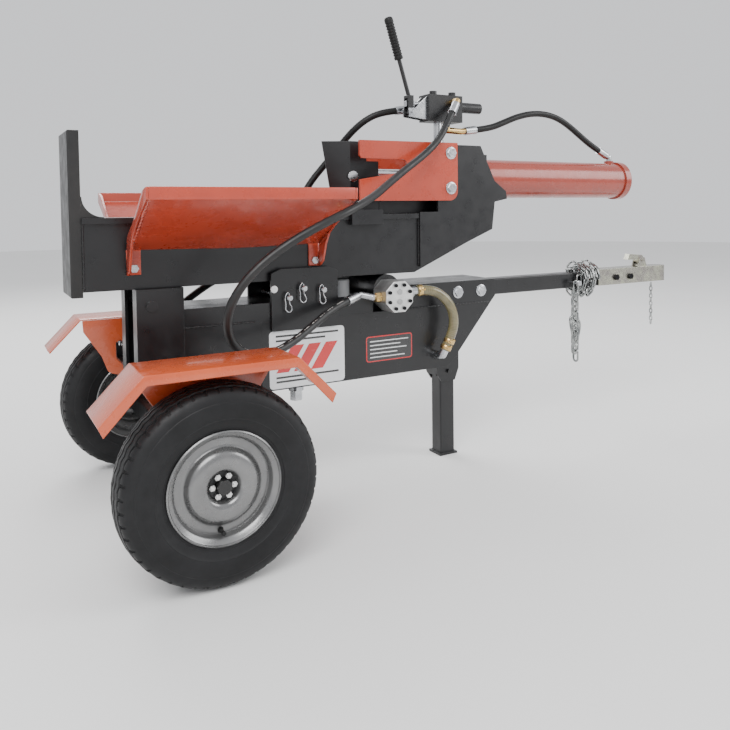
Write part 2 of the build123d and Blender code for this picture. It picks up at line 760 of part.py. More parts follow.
clip_length = 46.0
clip_width = 2 * pin_radius + 6
with BuildPart() as pin_clips:
    for x, z in (*saddle_pin_places, lock_pin_place):
        with BuildSketch(side_plane(-saddle_outer - 12)):
            with Locations((along(x), z - clip_length / 2 + pin_radius + 3)):
                SlotOverall(clip_length, clip_width, rotation=90)
                SlotOverall(clip_length - 6, clip_width - 6, rotation=90, mode=Mode.SUBTRACT)
        extrude(amount=3)
        bar_y((x, z), -saddle_outer - 16, saddle_outer + 1, pin_radius + 0.02, mode=Mode.SUBTRACT)
save("saddle_pins", saddle_pins.part, pin_clips.part)

yoke_top = ram_axis + barrel_radius + 9
with BuildPart() as bracket:
    for side in (-1, 1):
        low, high = sorted((side * beam_half, side * cheek_outer))
        plate([(way_front + 2, beam_bottom + 16), (beam_front, tail_end), (957, 764), (1004, 773), (1000, 796),
               (957, 827), (905, plate_top - 2), (752, plate_top - 2), (752, beam_top + 4),
               (way_front + 2, beam_top + 4)], low, high)
    plate([(tail_start, beam_bottom), (beam_front, tail_end), (beam_front, tail_end + tail_seat),
           (tail_start - tail_seat / tail_slope, beam_bottom)], -beam_half, beam_half)
    for x in yoke_places:
        block((x - yoke_thick / 2, x + yoke_thick / 2), (-beam_half, beam_half), (beam_top, yoke_top))
    block((apron_back, yoke_places[0]), (-apron_half, apron_half), (beam_top, plate_foot + 6))
    bar_x(0, ram_axis, 700, 1100, barrel_radius + 0.1, mode=Mode.SUBTRACT)
    for z in (plate_foot + 36, plate_top - 27):
        bar_y((792, z), -cheek_outer - 1, cheek_outer + 1, 8.2, mode=Mode.SUBTRACT)
save("cylinder_bracket", bracket.part)

stripper_outer = cheek_outer + plate_thick
strippers = []
for side in (-1, 1):
    with BuildPart() as stripper:
        low, high = sorted((side * cheek_outer, side * stripper_outer))
        with BuildSketch(side_plane(high)):
            outline([(plate_back, plate_foot), (plate_front, plate_foot),
                     (plate_front, plate_top + 3), (plate_back, plate_top)])
            with BuildSketch(mode=Mode.SUBTRACT):
                outline([(plate_back - 1, slot_foot), (slot_end, slot_foot + 24), (slot_end, slot_top),
                         (plate_back - 1, slot_top)])
        extrude(amount=high - low)
        for x, z, radius in ((plate_front, plate_foot, 28), (slot_end, slot_foot + 24, 10),
                             (slot_end, slot_top, 16), (plate_back, slot_top, 10)):
            corner = (along(x), (low + high) / 2, z)
            fillet(stripper.edges().filter_by(Axis.Y).sort_by_distance(corner)[0], radius)
        for z in (plate_foot + 36, plate_top - 27):
            bar_y((792, z), low - 1, high + 1, 8.2, mode=Mode.SUBTRACT)
    strippers.append(stripper.part)
save("stripper_plates", *strippers)

with BuildPart() as stripper_bolts:
    for z in (plate_foot + 36, plate_top - 27):
        for side in (-1, 1):
            low, high = sorted((side * beam_half, side * stripper_outer))
            bar_y((792, z), low, high, 8)
            low, high = sorted((side * stripper_outer, side * (stripper_outer + 9)))
            hex_y((792, z), low, high, 14)

with BuildPart() as tongue_bolt_set:
    for x in tongue_bolts:
        bar_y((x, tongue_middle), -frame_half_width, frame_half_width, 8)
        for side in (-1, 1):
            low, high = sorted((side * frame_half_width, side * (frame_half_width + 9)))
            hex_y((x, tongue_middle), low, high, 14)

with BuildPart() as coupler_bolts:
    for x in coupler_holes:
        bar_y((x, tongue_middle), -channel_outer, channel_outer, 6.5)
        for side in (-1, 1):
            low, high = sorted((side * channel_outer, side * (channel_outer + 8)))
            hex_y((x, tongue_middle), low, high, 11)

# ================================ Cylinder and wedge ===========================================
with BuildPart() as barrel:
    bar_x(0, ram_axis, barrel_back + gland_length, barrel_front - cap_length, barrel_radius)
    bar_x(0, ram_axis, barrel_back, barrel_front, bore_radius + running_fit, mode=Mode.SUBTRACT)
    for x in (rod_port, cap_port):
        bar_z(x, 0, ram_axis + bore_radius + 2, ram_axis + barrel_radius + 8, 16)
        bar_z(x, 0, ram_axis + bore_radius - 2, ram_axis + barrel_radius + 9, 8, mode=Mode.SUBTRACT)

with BuildPart() as gland:
    bar_x(0, ram_axis, barrel_back, barrel_back + gland_length, barrel_radius - 2)
    bar_x(0, ram_axis, barrel_back - 1, barrel_front, rod_radius + running_fit, mode=Mode.SUBTRACT)
save("rod_gland", gland.part)

with BuildPart() as end_cap:
    bar_x(0, ram_axis, barrel_front - cap_length, barrel_front, barrel_radius + 5)
save("cylinder_barrel", barrel.part, end_cap.part)

with BuildPart() as piston_rod:
    bar_x(0, ram_axis, rod_start, piston_back, rod_radius)
    bar_x(0, ram_axis, piston_back, piston_back + piston_length, bore_radius)
    bar_y((wedge_pin_place, ram_axis), -rod_radius - 1, rod_radius + 1, wedge_pin_radius + 0.1,
          mode=Mode.SUBTRACT)
save("piston_rod", piston_rod.part)

with BuildPart() as wedge:
    for z, tip in ((slide_top, wedge_tip_foot), (wedge_top, wedge_tip_top)):
        with BuildSketch(Plane.XY.offset(z)):
            Polygon((along(tip), -1.5), (along(wedge_back - 50), -wedge_half), (along(wedge_back), -wedge_half),
                    (along(wedge_back), wedge_half), (along(wedge_back - 50), wedge_half),
                    (along(tip), 1.5), align=None)
    loft(ruled=True)
    block((wedge_back - 1, wedge_back + 38), (-wedge_half, wedge_half), (slide_top, slot_top - 4))
    reach = gib_reach
    block((slide_back, slide_front), (-reach, reach), (beam_top + slide_clear, slide_top))
    for side in (-1, 1):
        low, high = sorted((side * (beam_half + way_overhang + slide_clear), side * reach))
        block((slide_back, slide_front), (low, high), (beam_top - gib_depth, beam_top + slide_clear))
        low, high = sorted((side * (beam_half + 1.5), side * reach))
        block((slide_back, slide_front), (low, high),
              (beam_top - gib_depth, beam_top - way_thick - slide_clear))
    bar_x(0, ram_axis, rod_start - 0.2, 700, rod_radius + running_fit, mode=Mode.SUBTRACT)
    bar_y((wedge_pin_place, ram_axis), -wedge_half - 10, wedge_half + 10, wedge_pin_radius + 0.1,
          mode=Mode.SUBTRACT)
save("wedge", wedge.part)

with BuildPart() as wedge_pin:
    bar_y((wedge_pin_place, ram_axis), -wedge_half - 4, wedge_half + 4, wedge_pin_radius)
save("wedge_pin", wedge_pin.part)

# ================================ Control valve ================================================
with BuildPart() as valve_body:
    block((valve_back, valve_front), (-valve_half, valve_half), (valve_bottom, valve_top))
    bar_z(valve_back + 32, 0, valve_top, valve_top + 13, 11)
    bar_z(valve_front - 19, 0, valve_top, valve_top + 13, 11)
    bar_x(0, spool_height, valve_back - 1, valve_front + 1, spool_radius + running_fit, mode=Mode.SUBTRACT)

nipple_foot = ram_axis + barrel_radius + 8
with BuildPart() as valve_nipple:
    bar_z(rod_port, 0, nipple_foot, valve_bottom, 13)
    bar_z(rod_port, 0, nipple_foot + 24, nipple_foot + 46, 17)

detent_reach = 83.0
with BuildPart() as detent_cap:
    bar_x(0, spool_height, valve_front, valve_front + detent_reach, 16)
    bar_x(0, spool_height, valve_front - 1, valve_front + detent_reach - 4, 10, mode=Mode.SUBTRACT)
save("valve_body", valve_body.part, detent_cap.part)

spool_tang = 7.0
fork_outer = 13.0
fork_inner = 9.0
with BuildPart() as lever_bracket:
    for side in (-1, 1):
        low, high = sorted((side * (fork_outer + 1), side * (fork_outer + 5)))
        plate([(fulcrum[0] - 10, fulcrum[1] - 14), (valve_back, valve_bottom + 4), (valve_back, valve_top - 6),
               (fulcrum[0] + 12, fulcrum[1] + 12), (fulcrum[0] - 10, fulcrum[1] + 10)], low, high)
    bar_y(fulcrum, -fork_outer - 8, fork_outer + 8, linkage_pin + 1)
save("lever_bracket", lever_bracket.part)

spool_tail = fulcrum[0] - 12
with BuildPart() as spool:
    bar_x(0, spool_height, fulcrum[0] + 14, valve_front + 20, spool_radius)
    block((spool_tail, fulcrum[0] + 16), (-spool_tang, spool_tang),
          (spool_height - spool_radius, spool_height + spool_radius))
    block((fulcrum[0] - linkage_pin - 0.2, fulcrum[0] + linkage_pin + 0.2), (-spool_tang, spool_tang),
          (spool_height - 6, spool_height + 6), mode=Mode.SUBTRACT)
save("valve_spool", spool.part)

lean = radians(lever_lean)
with BuildPart() as lever:
    for side in (-1, 1):
        low, high = sorted((side * fork_inner, side * fork_outer))
        plate([(fulcrum[0] - 9, fulcrum[1] - 9), (fulcrum[0] + 9, fulcrum[1] - 9),
               (fulcrum[0] + 9, spool_height + 22), (fulcrum[0] - 9, spool_height + 22)], low, high)
    block((fulcrum[0] - 9, fulcrum[0] + 9), (-fork_outer, fork_outer), (spool_height + 16, spool_height + 24))
    bar_y(fulcrum, -fork_outer - 1, fork_outer + 1, linkage_pin + 1.05, mode=Mode.SUBTRACT)
    bar_y((fulcrum[0], spool_height), -fork_inner, fork_inner, linkage_pin)
    rod_plane = Plane(origin=(along(fulcrum[0]), 0, spool_height + 22), z_dir=(sin(lean), 0, cos(lean)))
    with BuildSketch(rod_plane):
        Circle(lever_rod_radius)
    extrude(amount=lever_length - 40)
save("valve_lever", lever.part)

with BuildPart() as grip:
    with BuildSketch(rod_plane.offset(lever_length - grip_length)):
        Circle(grip_radius)
        Circle(lever_rod_radius + 0.02, mode=Mode.SUBTRACT)
    extrude(amount=grip_length)
    with BuildSketch(rod_plane.offset(lever_length - 40)):
        Circle(grip_radius)
    extrude(amount=40)
save("lever_grip", grip.part)

# ================================ Hoses and their fittings =====================================
pressure_route = [
    (815, -66, 1024), (780, -86, 981), (737, -112, 938), (680, -134, 897), (608, -154, 855),
    (530, -192, 813), (452, -254, 778), (371, -312, 750), (289, -326, 718), (215, -323, 682),
    (150, -314, 640), (96, -303, 588), (63, -291, 526), (68, -277, 464), (110, -258, 421),
    (176, -234, 407), (246, -208, 425), (318, -174, 458), (385, -140, 489), (440, -118, 503),
]
return_route = [
    (690, 48, 1036), (640, 54, 1029), (596, 74, 1004), (562, 100, 966), (535, 126, 922),
    (502, 147, 877), (462, 162, 826), (428, 172, 762), (404, 180, 695), (368, 186, 640),
    (310, 186, 606), (242, 181, 580), (170, 173, 550), (106, 165, 512), (57, 155, 477),
    (39, 145, 420), (58, 135, 362), (106, 128, 328), (164, 124, 325),
]
cylinder_route = [
    (947, 0, 987), (1004, 0, 995), (1056, 0, 1014), (1112, 0, 1036), (1172, 0, 1050),
    (1233, 0, 1052), (1292, 0, 1040), (1344, 0, 1014), (1394, 0, 983), (1438, 0, 957), (1474, 0, 940),
]
suction_route = [
    (654, -120, 518), (694, -126, 519), (734, -132, 500), (761, -136, 465), (770, -137, 423),
    (760, -134, 381), (741, -129, 343),
]
hose(pressure_route, hose_radius, "pressure_hose")
hose(return_route, hose_radius, "return_hose")
hose(cylinder_route, hose_radius, "cylinder_hose")
hose(suction_route, suction_radius, "suction_hose")

return_port = (228.0, 325.0)
bend = 14.0
with BuildPart() as ferrules:
    for route in (pressure_route, return_route, cylinder_route):
        rod(hose_end(route, ferrule_length), route[0], ferrule_radius)
        rod(route[-1], hose_end(route, ferrule_length, last=True), ferrule_radius)
save("hose_ferrules", ferrules.part)

pipe_radius = 9.5
with BuildPart() as fittings:
    for route, port, corner in (
        (pressure_route, (841, -valve_half, 1060), (841, -valve_half - bend, 1060)),
        (return_route, (795, valve_half, 1035), (795, valve_half + bend, 1035)),
        (cylinder_route, (842, 0, valve_bottom), (842, 0, valve_bottom - 22)),
    ):
        neck = hose_end(route, ferrule_length + bend)
        elbow([port, corner, neck, hose_end(route, ferrule_length)], pipe_radius)
save("valve_fittings", fittings.part)

pump_port = -114.0
pump_flank = pump_place - pump_flat / 2
with BuildPart() as steel_fittings:
    for route, port, corner in (
        (cylinder_route, (cap_port, 0, nipple_foot), (cap_port, 0, nipple_foot + bend)),
        (pressure_route, (pump_flank, pump_port, pump_middle), (pump_flank - 22, pump_port, pump_middle)),
        (return_route, (return_port[0], frame_half_width, return_port[1]),
         (return_port[0], return_route[-1][1], return_port[1])),
    ):
        neck = hose_end(route, ferrule_length + bend, last=True)
        elbow([port, corner, neck, hose_end(route, ferrule_length, last=True)], pipe_radius)

with BuildPart() as suction_fittings:
    port = (pump_place + pump_flat / 2, pump_port, pump_middle)
    elbow([port, (port[0] + bend, port[1], port[2]), hose_end(suction_route, bend), suction_route[0]], 12)
    neck = hose_end(suction_route, bend, last=True)
    elbow([suction_route[-1], neck, (neck[0], -frame_half_width - bend, neck[2] - 6),
           (neck[0], -frame_half_width, neck[2] - 6)], 12)
save("steel_fittings", steel_fittings.part, suction_fittings.part, valve_nipple.part, drain_plug.part)

# ================================ Pump =========================================================
def octagon(y_low, y_high, flat):
    """Octagonal block of the pump, measured across its flats."""
    with BuildSketch(side_plane(y_high)) as profile:
        with Locations((along(pump_place), pump_middle)):
            RegularPolygon(flat / 2 / cos(pi / 8), 8, rotation=22.5)
    extrude(profile.sketch, amount=y_high - y_low)


def gear_outline(centre_z, first_tooth):
    """Sketch a pump gear's teeth on the current side plane."""
    points = []
    pitch_radius = gear_spacing / 2
    for tooth in range(gear_teeth):
        middle = first_tooth + 360 / gear_teeth * tooth
        for offset_angle, radius in ((-8.6, gear_root), (-5.0, pitch_radius), (-2.6, gear_outer),
                                     (2.6, gear_outer), (5.0, pitch_radius), (8.6, gear_root)):
            angle = radians(middle + offset_angle)
            points.append((along(pump_place) + radius * cos(angle), centre_z + radius * sin(angle)))
    Polygon(*points, align=None)


cover_back = pump_face + cover_thick
gear_shaft = 8.0
bearing_depth = 12.0
bolt_ring = 34.0
bolt_spots = [(pump_place + bolt_ring * cos(radians(22.5 + 45 * n)),
               pump_middle + bolt_ring * sin(radians(22.5 + 45 * n))) for n in range(8)]
with BuildPart() as pump_cover:
    octagon(pump_face, cover_back, pump_flat)
    fillet(pump_cover.faces().sort_by(Axis.Y)[0].edges(), 2)
    for z in (crank_height, idler_height):
        bar_y((pump_place, z), cover_back - bearing_depth, cover_back + 1, gear_shaft + running_fit,
              mode=Mode.SUBTRACT)
    for spot in bolt_spots:
        bar_y(spot, pump_face - 1, cover_back + 1, 3.2, mode=Mode.SUBTRACT)
save("pump_cover", pump_cover.part)

chamber_back = cover_back + gear_width + 0.2
with BuildPart() as pump_body:
    octagon(cover_back, pump_back, pump_flat)
    for z in (crank_height, idler_height):
        bar_y((pump_place, z), cover_back - 1, chamber_back, gear_outer + 0.1, mode=Mode.SUBTRACT)
    bar_y((pump_place, crank_height), cover_back, pump_back + 1, gear_shaft + running_fit,
          mode=Mode.SUBTRACT)
    bar_y((pump_place, idler_height), cover_back, chamber_back + bearing_depth, gear_shaft + running_fit,
          mode=Mode.SUBTRACT)
    for spot in bolt_spots:
        bar_y(spot, cover_back - 1, cover_back + 12, 3.2, mode=Mode.SUBTRACT)
save("pump_body", pump_body.part)

with BuildPart() as cover_bolts:
    for spot in bolt_spots:
        bar_y(spot, pump_face, cover_back + 11, 3)
        bar_y(spot, pump_face - 5, pump_face, 5)
save("frame_bolts", chain_bolts.part, cradle_bolts.part, stripper_bolts.part, tongue_bolt_set.part,
     coupler_bolts.part, cover_bolts.part)

gear_face = cover_back + 0.1
shaft_end = 4.0
with BuildPart() as drive_gear:
    with BuildSketch(side_plane(gear_face + gear_width)):
        gear_outline(crank_height, 15)
    extrude(amount=gear_width)
    bar_y((pump_place, crank_height), cover_back - bearing_depth + 0.5, shaft_end, gear_shaft)
save("pump_drive_gear", drive_gear.part)

with BuildPart() as idler_gear:
    with BuildSketch(side_plane(gear_face + gear_width)):
        gear_outline(idler_height, 0)
    extrude(amount=gear_width)
    bar_y((pump_place, idler_height), cover_back - bearing_depth + 0.5, chamber_back + bearing_depth - 0.5,
          gear_shaft)
save("pump_idler_gear", idler_gear.part)

mount_radius = 41.0
with BuildPart() as pump_mount:
    bar_y((pump_place, crank_height), pump_back, engine_face, mount_radius)
    bar_y((pump_place, crank_height), pump_back + 10, engine_face - 10, mount_radius - 8, mode=Mode.SUBTRACT)
    bar_y((pump_place, crank_height), pump_back - 1, engine_face + 1, 14, mode=Mode.SUBTRACT)
    for z in (1, -1):
        low, high = sorted((crank_height + z * 20, crank_height + z * 48))
        block((pump_place - 16, pump_place + 16), (-30, 30), (low, high), mode=Mode.SUBTRACT)
save("pump_mount", pump_mount.part)

with BuildPart() as coupling:
    bar_y((pump_place, crank_height), -40, 50, 26)
    bar_y((pump_place, crank_height), -41, shaft_end + 1, gear_shaft, mode=Mode.SUBTRACT)
    bar_y((pump_place, crank_height), shaft_end + 1, 51, 12.7, mode=Mode.SUBTRACT)

# ================================ Engine =======================================================
crank_radius = 12.7
engine_back = engine_face + engine_depth
shelf_half = engine_half_width - 5
with BuildPart() as shelf:
    block((pump_place - shelf_half, pump_place + shelf_half), (frame_half_width, engine_back + 20),
          (engine_base - shelf_plate, engine_base))
    for x in (pump_place - shelf_half, pump_place + shelf_half - shelf_plate):
        with BuildSketch(Plane.YZ.offset(along(x))):
            Polygon((frame_half_width, engine_base - shelf_plate), (engine_back, engine_base - shelf_plate),
                    (frame_half_width, tank_bottom + 30), align=None)
        extrude(amount=shelf_plate)
save("chassis_brackets", axle_saddles.part, fender_arms.part, leg_cheeks.part, shelf.part)

case_half = 82.0
case_top = crank_height + 62
with BuildPart() as engine_block:
    block((pump_place - 100, pump_place + 100), (engine_face + 12, engine_back - 30),
          (engine_base, engine_base + 14))
    block((pump_place - case_half, pump_place + case_half), (engine_face, engine_back - 26),
          (engine_base + 14, case_top))
    bar_y((pump_place, crank_height), engine_face - 1, engine_back, crank_radius + running_fit,
          mode=Mode.SUBTRACT)

fin_count = 7
fin_pitch = 9.0
fin_half = 62.0
with BuildPart() as engine_cylinder:
    head = case_top + fin_count * fin_pitch
    block((pump_place - 40, pump_place + 40), (130, 226), (case_top, head))
    for n in range(fin_count):
        low = case_top + 3 + n * fin_pitch
        block((pump_place - fin_half, pump_place + fin_half), (118, 238), (low, low + 3))
save("engine_block", engine_block.part, engine_cylinder.part)

with BuildPart() as crankshaft:
    bar_y((pump_place, crank_height), shaft_end + 2, engine_back + 6, crank_radius)
    bar_y((pump_place, crank_height), engine_back - 22, engine_back + 2, 84)
save("crankshaft", crankshaft.part, coupling.part)

shroud_radius = 101.0
shroud_face = engine_back + 46
with BuildPart() as shroud:
    bar_y((pump_place, crank_height), engine_back - 26, shroud_face, shroud_radius)
    bar_y((pump_place, crank_height), engine_back - 27, shroud_face - 4, shroud_radius - 4,
          mode=Mode.SUBTRACT)
    block((pump_place - 66, pump_place + 66), (engine_back - 26, engine_back + 20),
          (crank_height + 60, crank_height + 128))
    block((pump_place - 62, pump_place + 62), (engine_back - 27, engine_back + 16),
          (crank_height + 56, crank_height + 124), mode=Mode.SUBTRACT)
    bar_y((pump_place, crank_height), engine_back - 27, shroud_face - 4, shroud_radius - 4,
          mode=Mode.SUBTRACT)

with BuildPart() as starter:
    bar_y((pump_place, crank_height), shroud_face, shroud_face + 20, 78)
    fillet(starter.faces().sort_by(Axis.Y)[-1].edges(), 6)
    block((pump_place - 78, pump_place - 50), (shroud_face, shroud_face + 20),
          (crank_height + 40, crank_height + 64))

with BuildPart() as starter_grip:
    block((pump_place - 98, pump_place - 40), (shroud_face + 2, shroud_face + 20),
          (crank_height + 64, crank_height + 84))
    fillet(starter_grip.edges().filter_by(Axis.X), 6)
save("engine_shroud", shroud.part, starter.part, starter_grip.part)

fuel_foot = case_top + fin_count * fin_pitch + 14
fuel_top = fuel_foot + 62
with BuildPart() as fuel_tank:
    block((pump_place - 92, pump_place + 92), (106, 262), (fuel_foot, fuel_top))
    fillet(fuel_tank.edges().filter_by(Axis.Z), 24)
    fillet(fuel_tank.faces().sort_by(Axis.Z)[-1].edges(), 14)
    bar_z(pump_place, 184, case_top + fin_count * fin_pitch, fuel_foot, 30)
save("fuel_tank", fuel_tank.part)

with BuildPart() as fuel_cap:
    bar_z(pump_place - 30, 184, fuel_top, fuel_top + 18, 26)
save("fuel_cap", fuel_cap.part)

with BuildPart() as muffler:
    block((pump_place + fin_half, pump_place + 126), (112, 244), (case_top + 4, case_top + 62))
    fillet(muffler.edges().filter_by(Axis.Y), 16)
save("muffler", muffler.part)

with BuildPart() as air_cleaner:
    block((pump_place - 128, pump_place - fin_half), (120, 236), (case_top + 2, case_top + 62))
    fillet(air_cleaner.edges().filter_by(Axis.Z), 14)
save("air_cleaner", air_cleaner.part)
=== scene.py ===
import json
from math import atan2, cos, pi, radians, sin

import bpy
from mathutils import Matrix, Vector

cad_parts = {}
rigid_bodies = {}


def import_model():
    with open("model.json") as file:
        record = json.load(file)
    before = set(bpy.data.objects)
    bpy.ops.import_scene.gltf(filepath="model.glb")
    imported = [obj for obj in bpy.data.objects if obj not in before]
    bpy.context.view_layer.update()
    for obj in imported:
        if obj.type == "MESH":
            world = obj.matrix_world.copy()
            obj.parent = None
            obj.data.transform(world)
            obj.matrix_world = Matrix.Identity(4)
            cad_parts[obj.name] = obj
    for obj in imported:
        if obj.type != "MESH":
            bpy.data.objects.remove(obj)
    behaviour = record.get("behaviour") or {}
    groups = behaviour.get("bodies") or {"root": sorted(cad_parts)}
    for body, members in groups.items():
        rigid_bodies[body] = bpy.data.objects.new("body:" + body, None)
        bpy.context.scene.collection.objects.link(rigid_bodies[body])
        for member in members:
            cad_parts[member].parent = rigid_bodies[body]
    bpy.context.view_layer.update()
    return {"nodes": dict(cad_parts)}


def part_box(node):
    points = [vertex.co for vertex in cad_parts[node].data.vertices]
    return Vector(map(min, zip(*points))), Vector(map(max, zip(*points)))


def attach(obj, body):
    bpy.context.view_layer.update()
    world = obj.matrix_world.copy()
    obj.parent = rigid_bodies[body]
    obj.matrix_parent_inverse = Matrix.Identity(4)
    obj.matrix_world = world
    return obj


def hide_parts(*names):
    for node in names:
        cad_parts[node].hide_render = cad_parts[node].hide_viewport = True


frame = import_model()
nodes = frame["nodes"]

# Places that most pieces start from, in metres.
axle_low, axle_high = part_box("axle")
axle_x = (axle_low[0] + axle_high[0]) / 2
wheel_height = (axle_low[2] + axle_high[2]) / 2
side_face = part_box("reservoir")[0][1]


def at(x, y, z):
    """A point stated in millimetres: X from the axle, Y from the middle, Z from the ground."""
    return Vector((axle_x + x / 1000, y / 1000, z / 1000))


# ---- Camera, lights and sky -------------------------------------------------------------------
heading = radians(31.07)
dip = radians(2.57)
tilt = radians(-0.57)
camera_place = (-1.2120, -1.8736, 0.7483)
ahead = Vector((sin(heading) * cos(dip), cos(heading) * cos(dip), -sin(dip)))
right = ahead.cross(Vector((0, 0, 1))).normalized()
above = right.cross(ahead)
level = cos(tilt) * right + sin(tilt) * above
upright = cos(tilt) * above - sin(tilt) * right
lens = bpy.data.cameras.new("camera")
lens.sensor_width = 36
lens.lens = 36.64
lens.shift_x = -0.0584
lens.shift_y = -0.1697
lens.clip_end = 100
camera = bpy.data.objects.new("camera", lens)
camera.matrix_world = Matrix.Translation(camera_place) @ Matrix(
    (level, upright, -ahead)).transposed().to_4x4()
bpy.context.collection.objects.link(camera)
bpy.context.scene.camera = camera


def lamp(name, place, aim, size, power):
    """A round area light, turned to face a point."""
    light = bpy.data.lights.new(name, "AREA")
    light.shape = "DISK"
    light.size = size
    light.energy = power
    holder = bpy.data.objects.new(name, light)
    holder.location = place
    holder.rotation_euler = (Vector(aim) - Vector(place)).to_track_quat("-Z", "Y").to_euler()
    bpy.context.collection.objects.link(holder)


lamp("key_light", (-2.6, -3.4, 4.2), (-0.1, 0, 0.5), 3.6, 260)
lamp("fill_light", (3.4, -2.6, 2.6), (0.2, 0, 0.5), 3.0, 110)
lamp("back_light", (-0.5, 3.6, 3.8), (0, 0, 0.5), 3.4, 160)
sky = bpy.data.worlds.new("studio")
sky.use_nodes = True
sky.node_tree.nodes["Background"].inputs["Color"].default_value = (0.96, 0.97, 1.0, 1)
sky.node_tree.nodes["Background"].inputs["Strength"].default_value = 1.0
bpy.context.scene.world = sky

# ---- Hoses ------------------------------------------------------------------------------------
# Each hose's own route: the points that its line is drawn through, end to end.
pressure_route = [
    (0.0325, -0.066, 1.024), (-0.0025, -0.086, 0.981), (-0.0455, -0.112, 0.938), (-0.1025, -0.134, 0.897),
    (-0.1745, -0.154, 0.855), (-0.2525, -0.192, 0.813), (-0.3305, -0.254, 0.778), (-0.4115, -0.312, 0.750),
    (-0.4935, -0.326, 0.718), (-0.5675, -0.323, 0.682), (-0.6325, -0.314, 0.640), (-0.6865, -0.303, 0.588),
    (-0.7195, -0.291, 0.526), (-0.7145, -0.277, 0.464), (-0.6725, -0.258, 0.421), (-0.6065, -0.234, 0.407),
    (-0.5365, -0.208, 0.425), (-0.4645, -0.174, 0.458), (-0.3975, -0.140, 0.489), (-0.3425, -0.118, 0.503),
]
return_route = [
    (-0.0925, 0.048, 1.036), (-0.1425, 0.054, 1.029), (-0.1865, 0.074, 1.004), (-0.2205, 0.100, 0.966),
    (-0.2475, 0.126, 0.922), (-0.2805, 0.147, 0.877), (-0.3205, 0.162, 0.826), (-0.3545, 0.172, 0.762),
    (-0.3785, 0.180, 0.695), (-0.4145, 0.186, 0.640), (-0.4725, 0.186, 0.606), (-0.5405, 0.181, 0.580),
    (-0.6125, 0.173, 0.550), (-0.6765, 0.165, 0.512), (-0.7255, 0.155, 0.477), (-0.7435, 0.145, 0.420),
    (-0.7245, 0.135, 0.362), (-0.6765, 0.128, 0.328), (-0.6185, 0.124, 0.325),
]
cylinder_route = [
    (0.1645, 0.000, 0.987), (0.2215, 0.000, 0.995), (0.2735, 0.000, 1.014), (0.3295, 0.000, 1.036),
    (0.3895, 0.000, 1.050), (0.4505, 0.000, 1.052), (0.5095, 0.000, 1.040), (0.5615, 0.000, 1.014),
    (0.6115, 0.000, 0.983), (0.6555, 0.000, 0.957), (0.6915, 0.000, 0.940),
]
suction_route = [
    (-0.1285, -0.120, 0.518), (-0.0885, -0.126, 0.519), (-0.0485, -0.132, 0.500), (-0.0215, -0.136, 0.465),
    (-0.0125, -0.137, 0.423), (-0.0225, -0.134, 0.381), (-0.0415, -0.129, 0.343),
]


def flexible(name, route, radius):
    """A hose on one smooth spline, with the route's points as its control points."""
    line = bpy.data.curves.new(name, "CURVE")
    line.dimensions = "3D"
    spline = line.splines.new("NURBS")
    spline.points.add(len(route) - 1)
    for point, place in zip(spline.points, route):
        point.co = (*place, 1)
        point.radius = radius
    spline.order_u = 3
    spline.use_endpoint_u = True
    line.resolution_u = 8
    line.bevel_depth = 1.0
    line.bevel_resolution = 7
    line.use_fill_caps = True
    piece = bpy.data.objects.new(name, line)
    bpy.context.collection.objects.link(piece)
    return piece


hose_radius = 0.010
suction_radius = 0.014
pressure_line = flexible("pressure_line", pressure_route, hose_radius)
return_line = flexible("return_line", return_route, hose_radius)
cylinder_line = flexible("cylinder_line", cylinder_route, hose_radius)
suction_line = flexible("suction_line", suction_route, suction_radius)
for piece, route, length, diameter, node, stiffness in (
    (pressure_line, pressure_route, 1.480, 0.020, "pressure_hose", "medium"),
    (return_line, return_route, 1.141, 0.020, "return_hose", "medium"),
    (cylinder_line, cylinder_route, 0.563, 0.020, "cylinder_hose", "medium"),
    (suction_line, suction_route, 0.256, 0.028, "suction_hose", "limp"),
):
    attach(piece, "root")
    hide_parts(node)


# ---- Finishes ---------------------------------------------------------------------------------
def blank(name):
    """A new material with its shader and object coordinates."""
    made = bpy.data.materials.new(name)
    made.use_nodes = True
    tree = made.node_tree
    shader = tree.nodes["Principled BSDF"]
    place = tree.nodes.new("ShaderNodeTexCoord")
    return made, tree, shader, place.outputs["Object"]


def noise(tree, place, scale, detail=4.0, roughness=0.55):
    node = tree.nodes.new("ShaderNodeTexNoise")
    node.inputs["Scale"].default_value = scale
    node.inputs["Detail"].default_value = detail
    node.inputs["Roughness"].default_value = roughness
    tree.links.new(place, node.inputs["Vector"])
    return node.outputs["Fac"]


def ranged(tree, value, low, high, out_low, out_high):
    node = tree.nodes.new("ShaderNodeMapRange")
    for name, number in (("From Min", low), ("From Max", high), ("To Min", out_low), ("To Max", out_high)):
        node.inputs[name].default_value = number
    tree.links.new(value, node.inputs["Value"])
    return node.outputs["Result"]


def mixed(tree, share, first, second):
    """Two colours, or a colour and a socket, blended by a socket."""
    node = tree.nodes.new("ShaderNodeMix")
    node.data_type = "RGBA"
    tree.links.new(share, node.inputs[0])
    for socket, colour in ((node.inputs[6], first), (node.inputs[7], second)):
        if isinstance(colour, tuple):
            socket.default_value = (*colour, 1)
        else:
            tree.links.new(colour, socket)
    return node.outputs[2]


def maths(tree, operation, first, second):
    node = tree.nodes.new("ShaderNodeMath")
    node.operation = operation
    for socket, value in zip(node.inputs, (first, second)):
        if isinstance(value, (int, float)):
            socket.default_value = value
        else:
            tree.links.new(value, socket)
    return node.outputs[0]


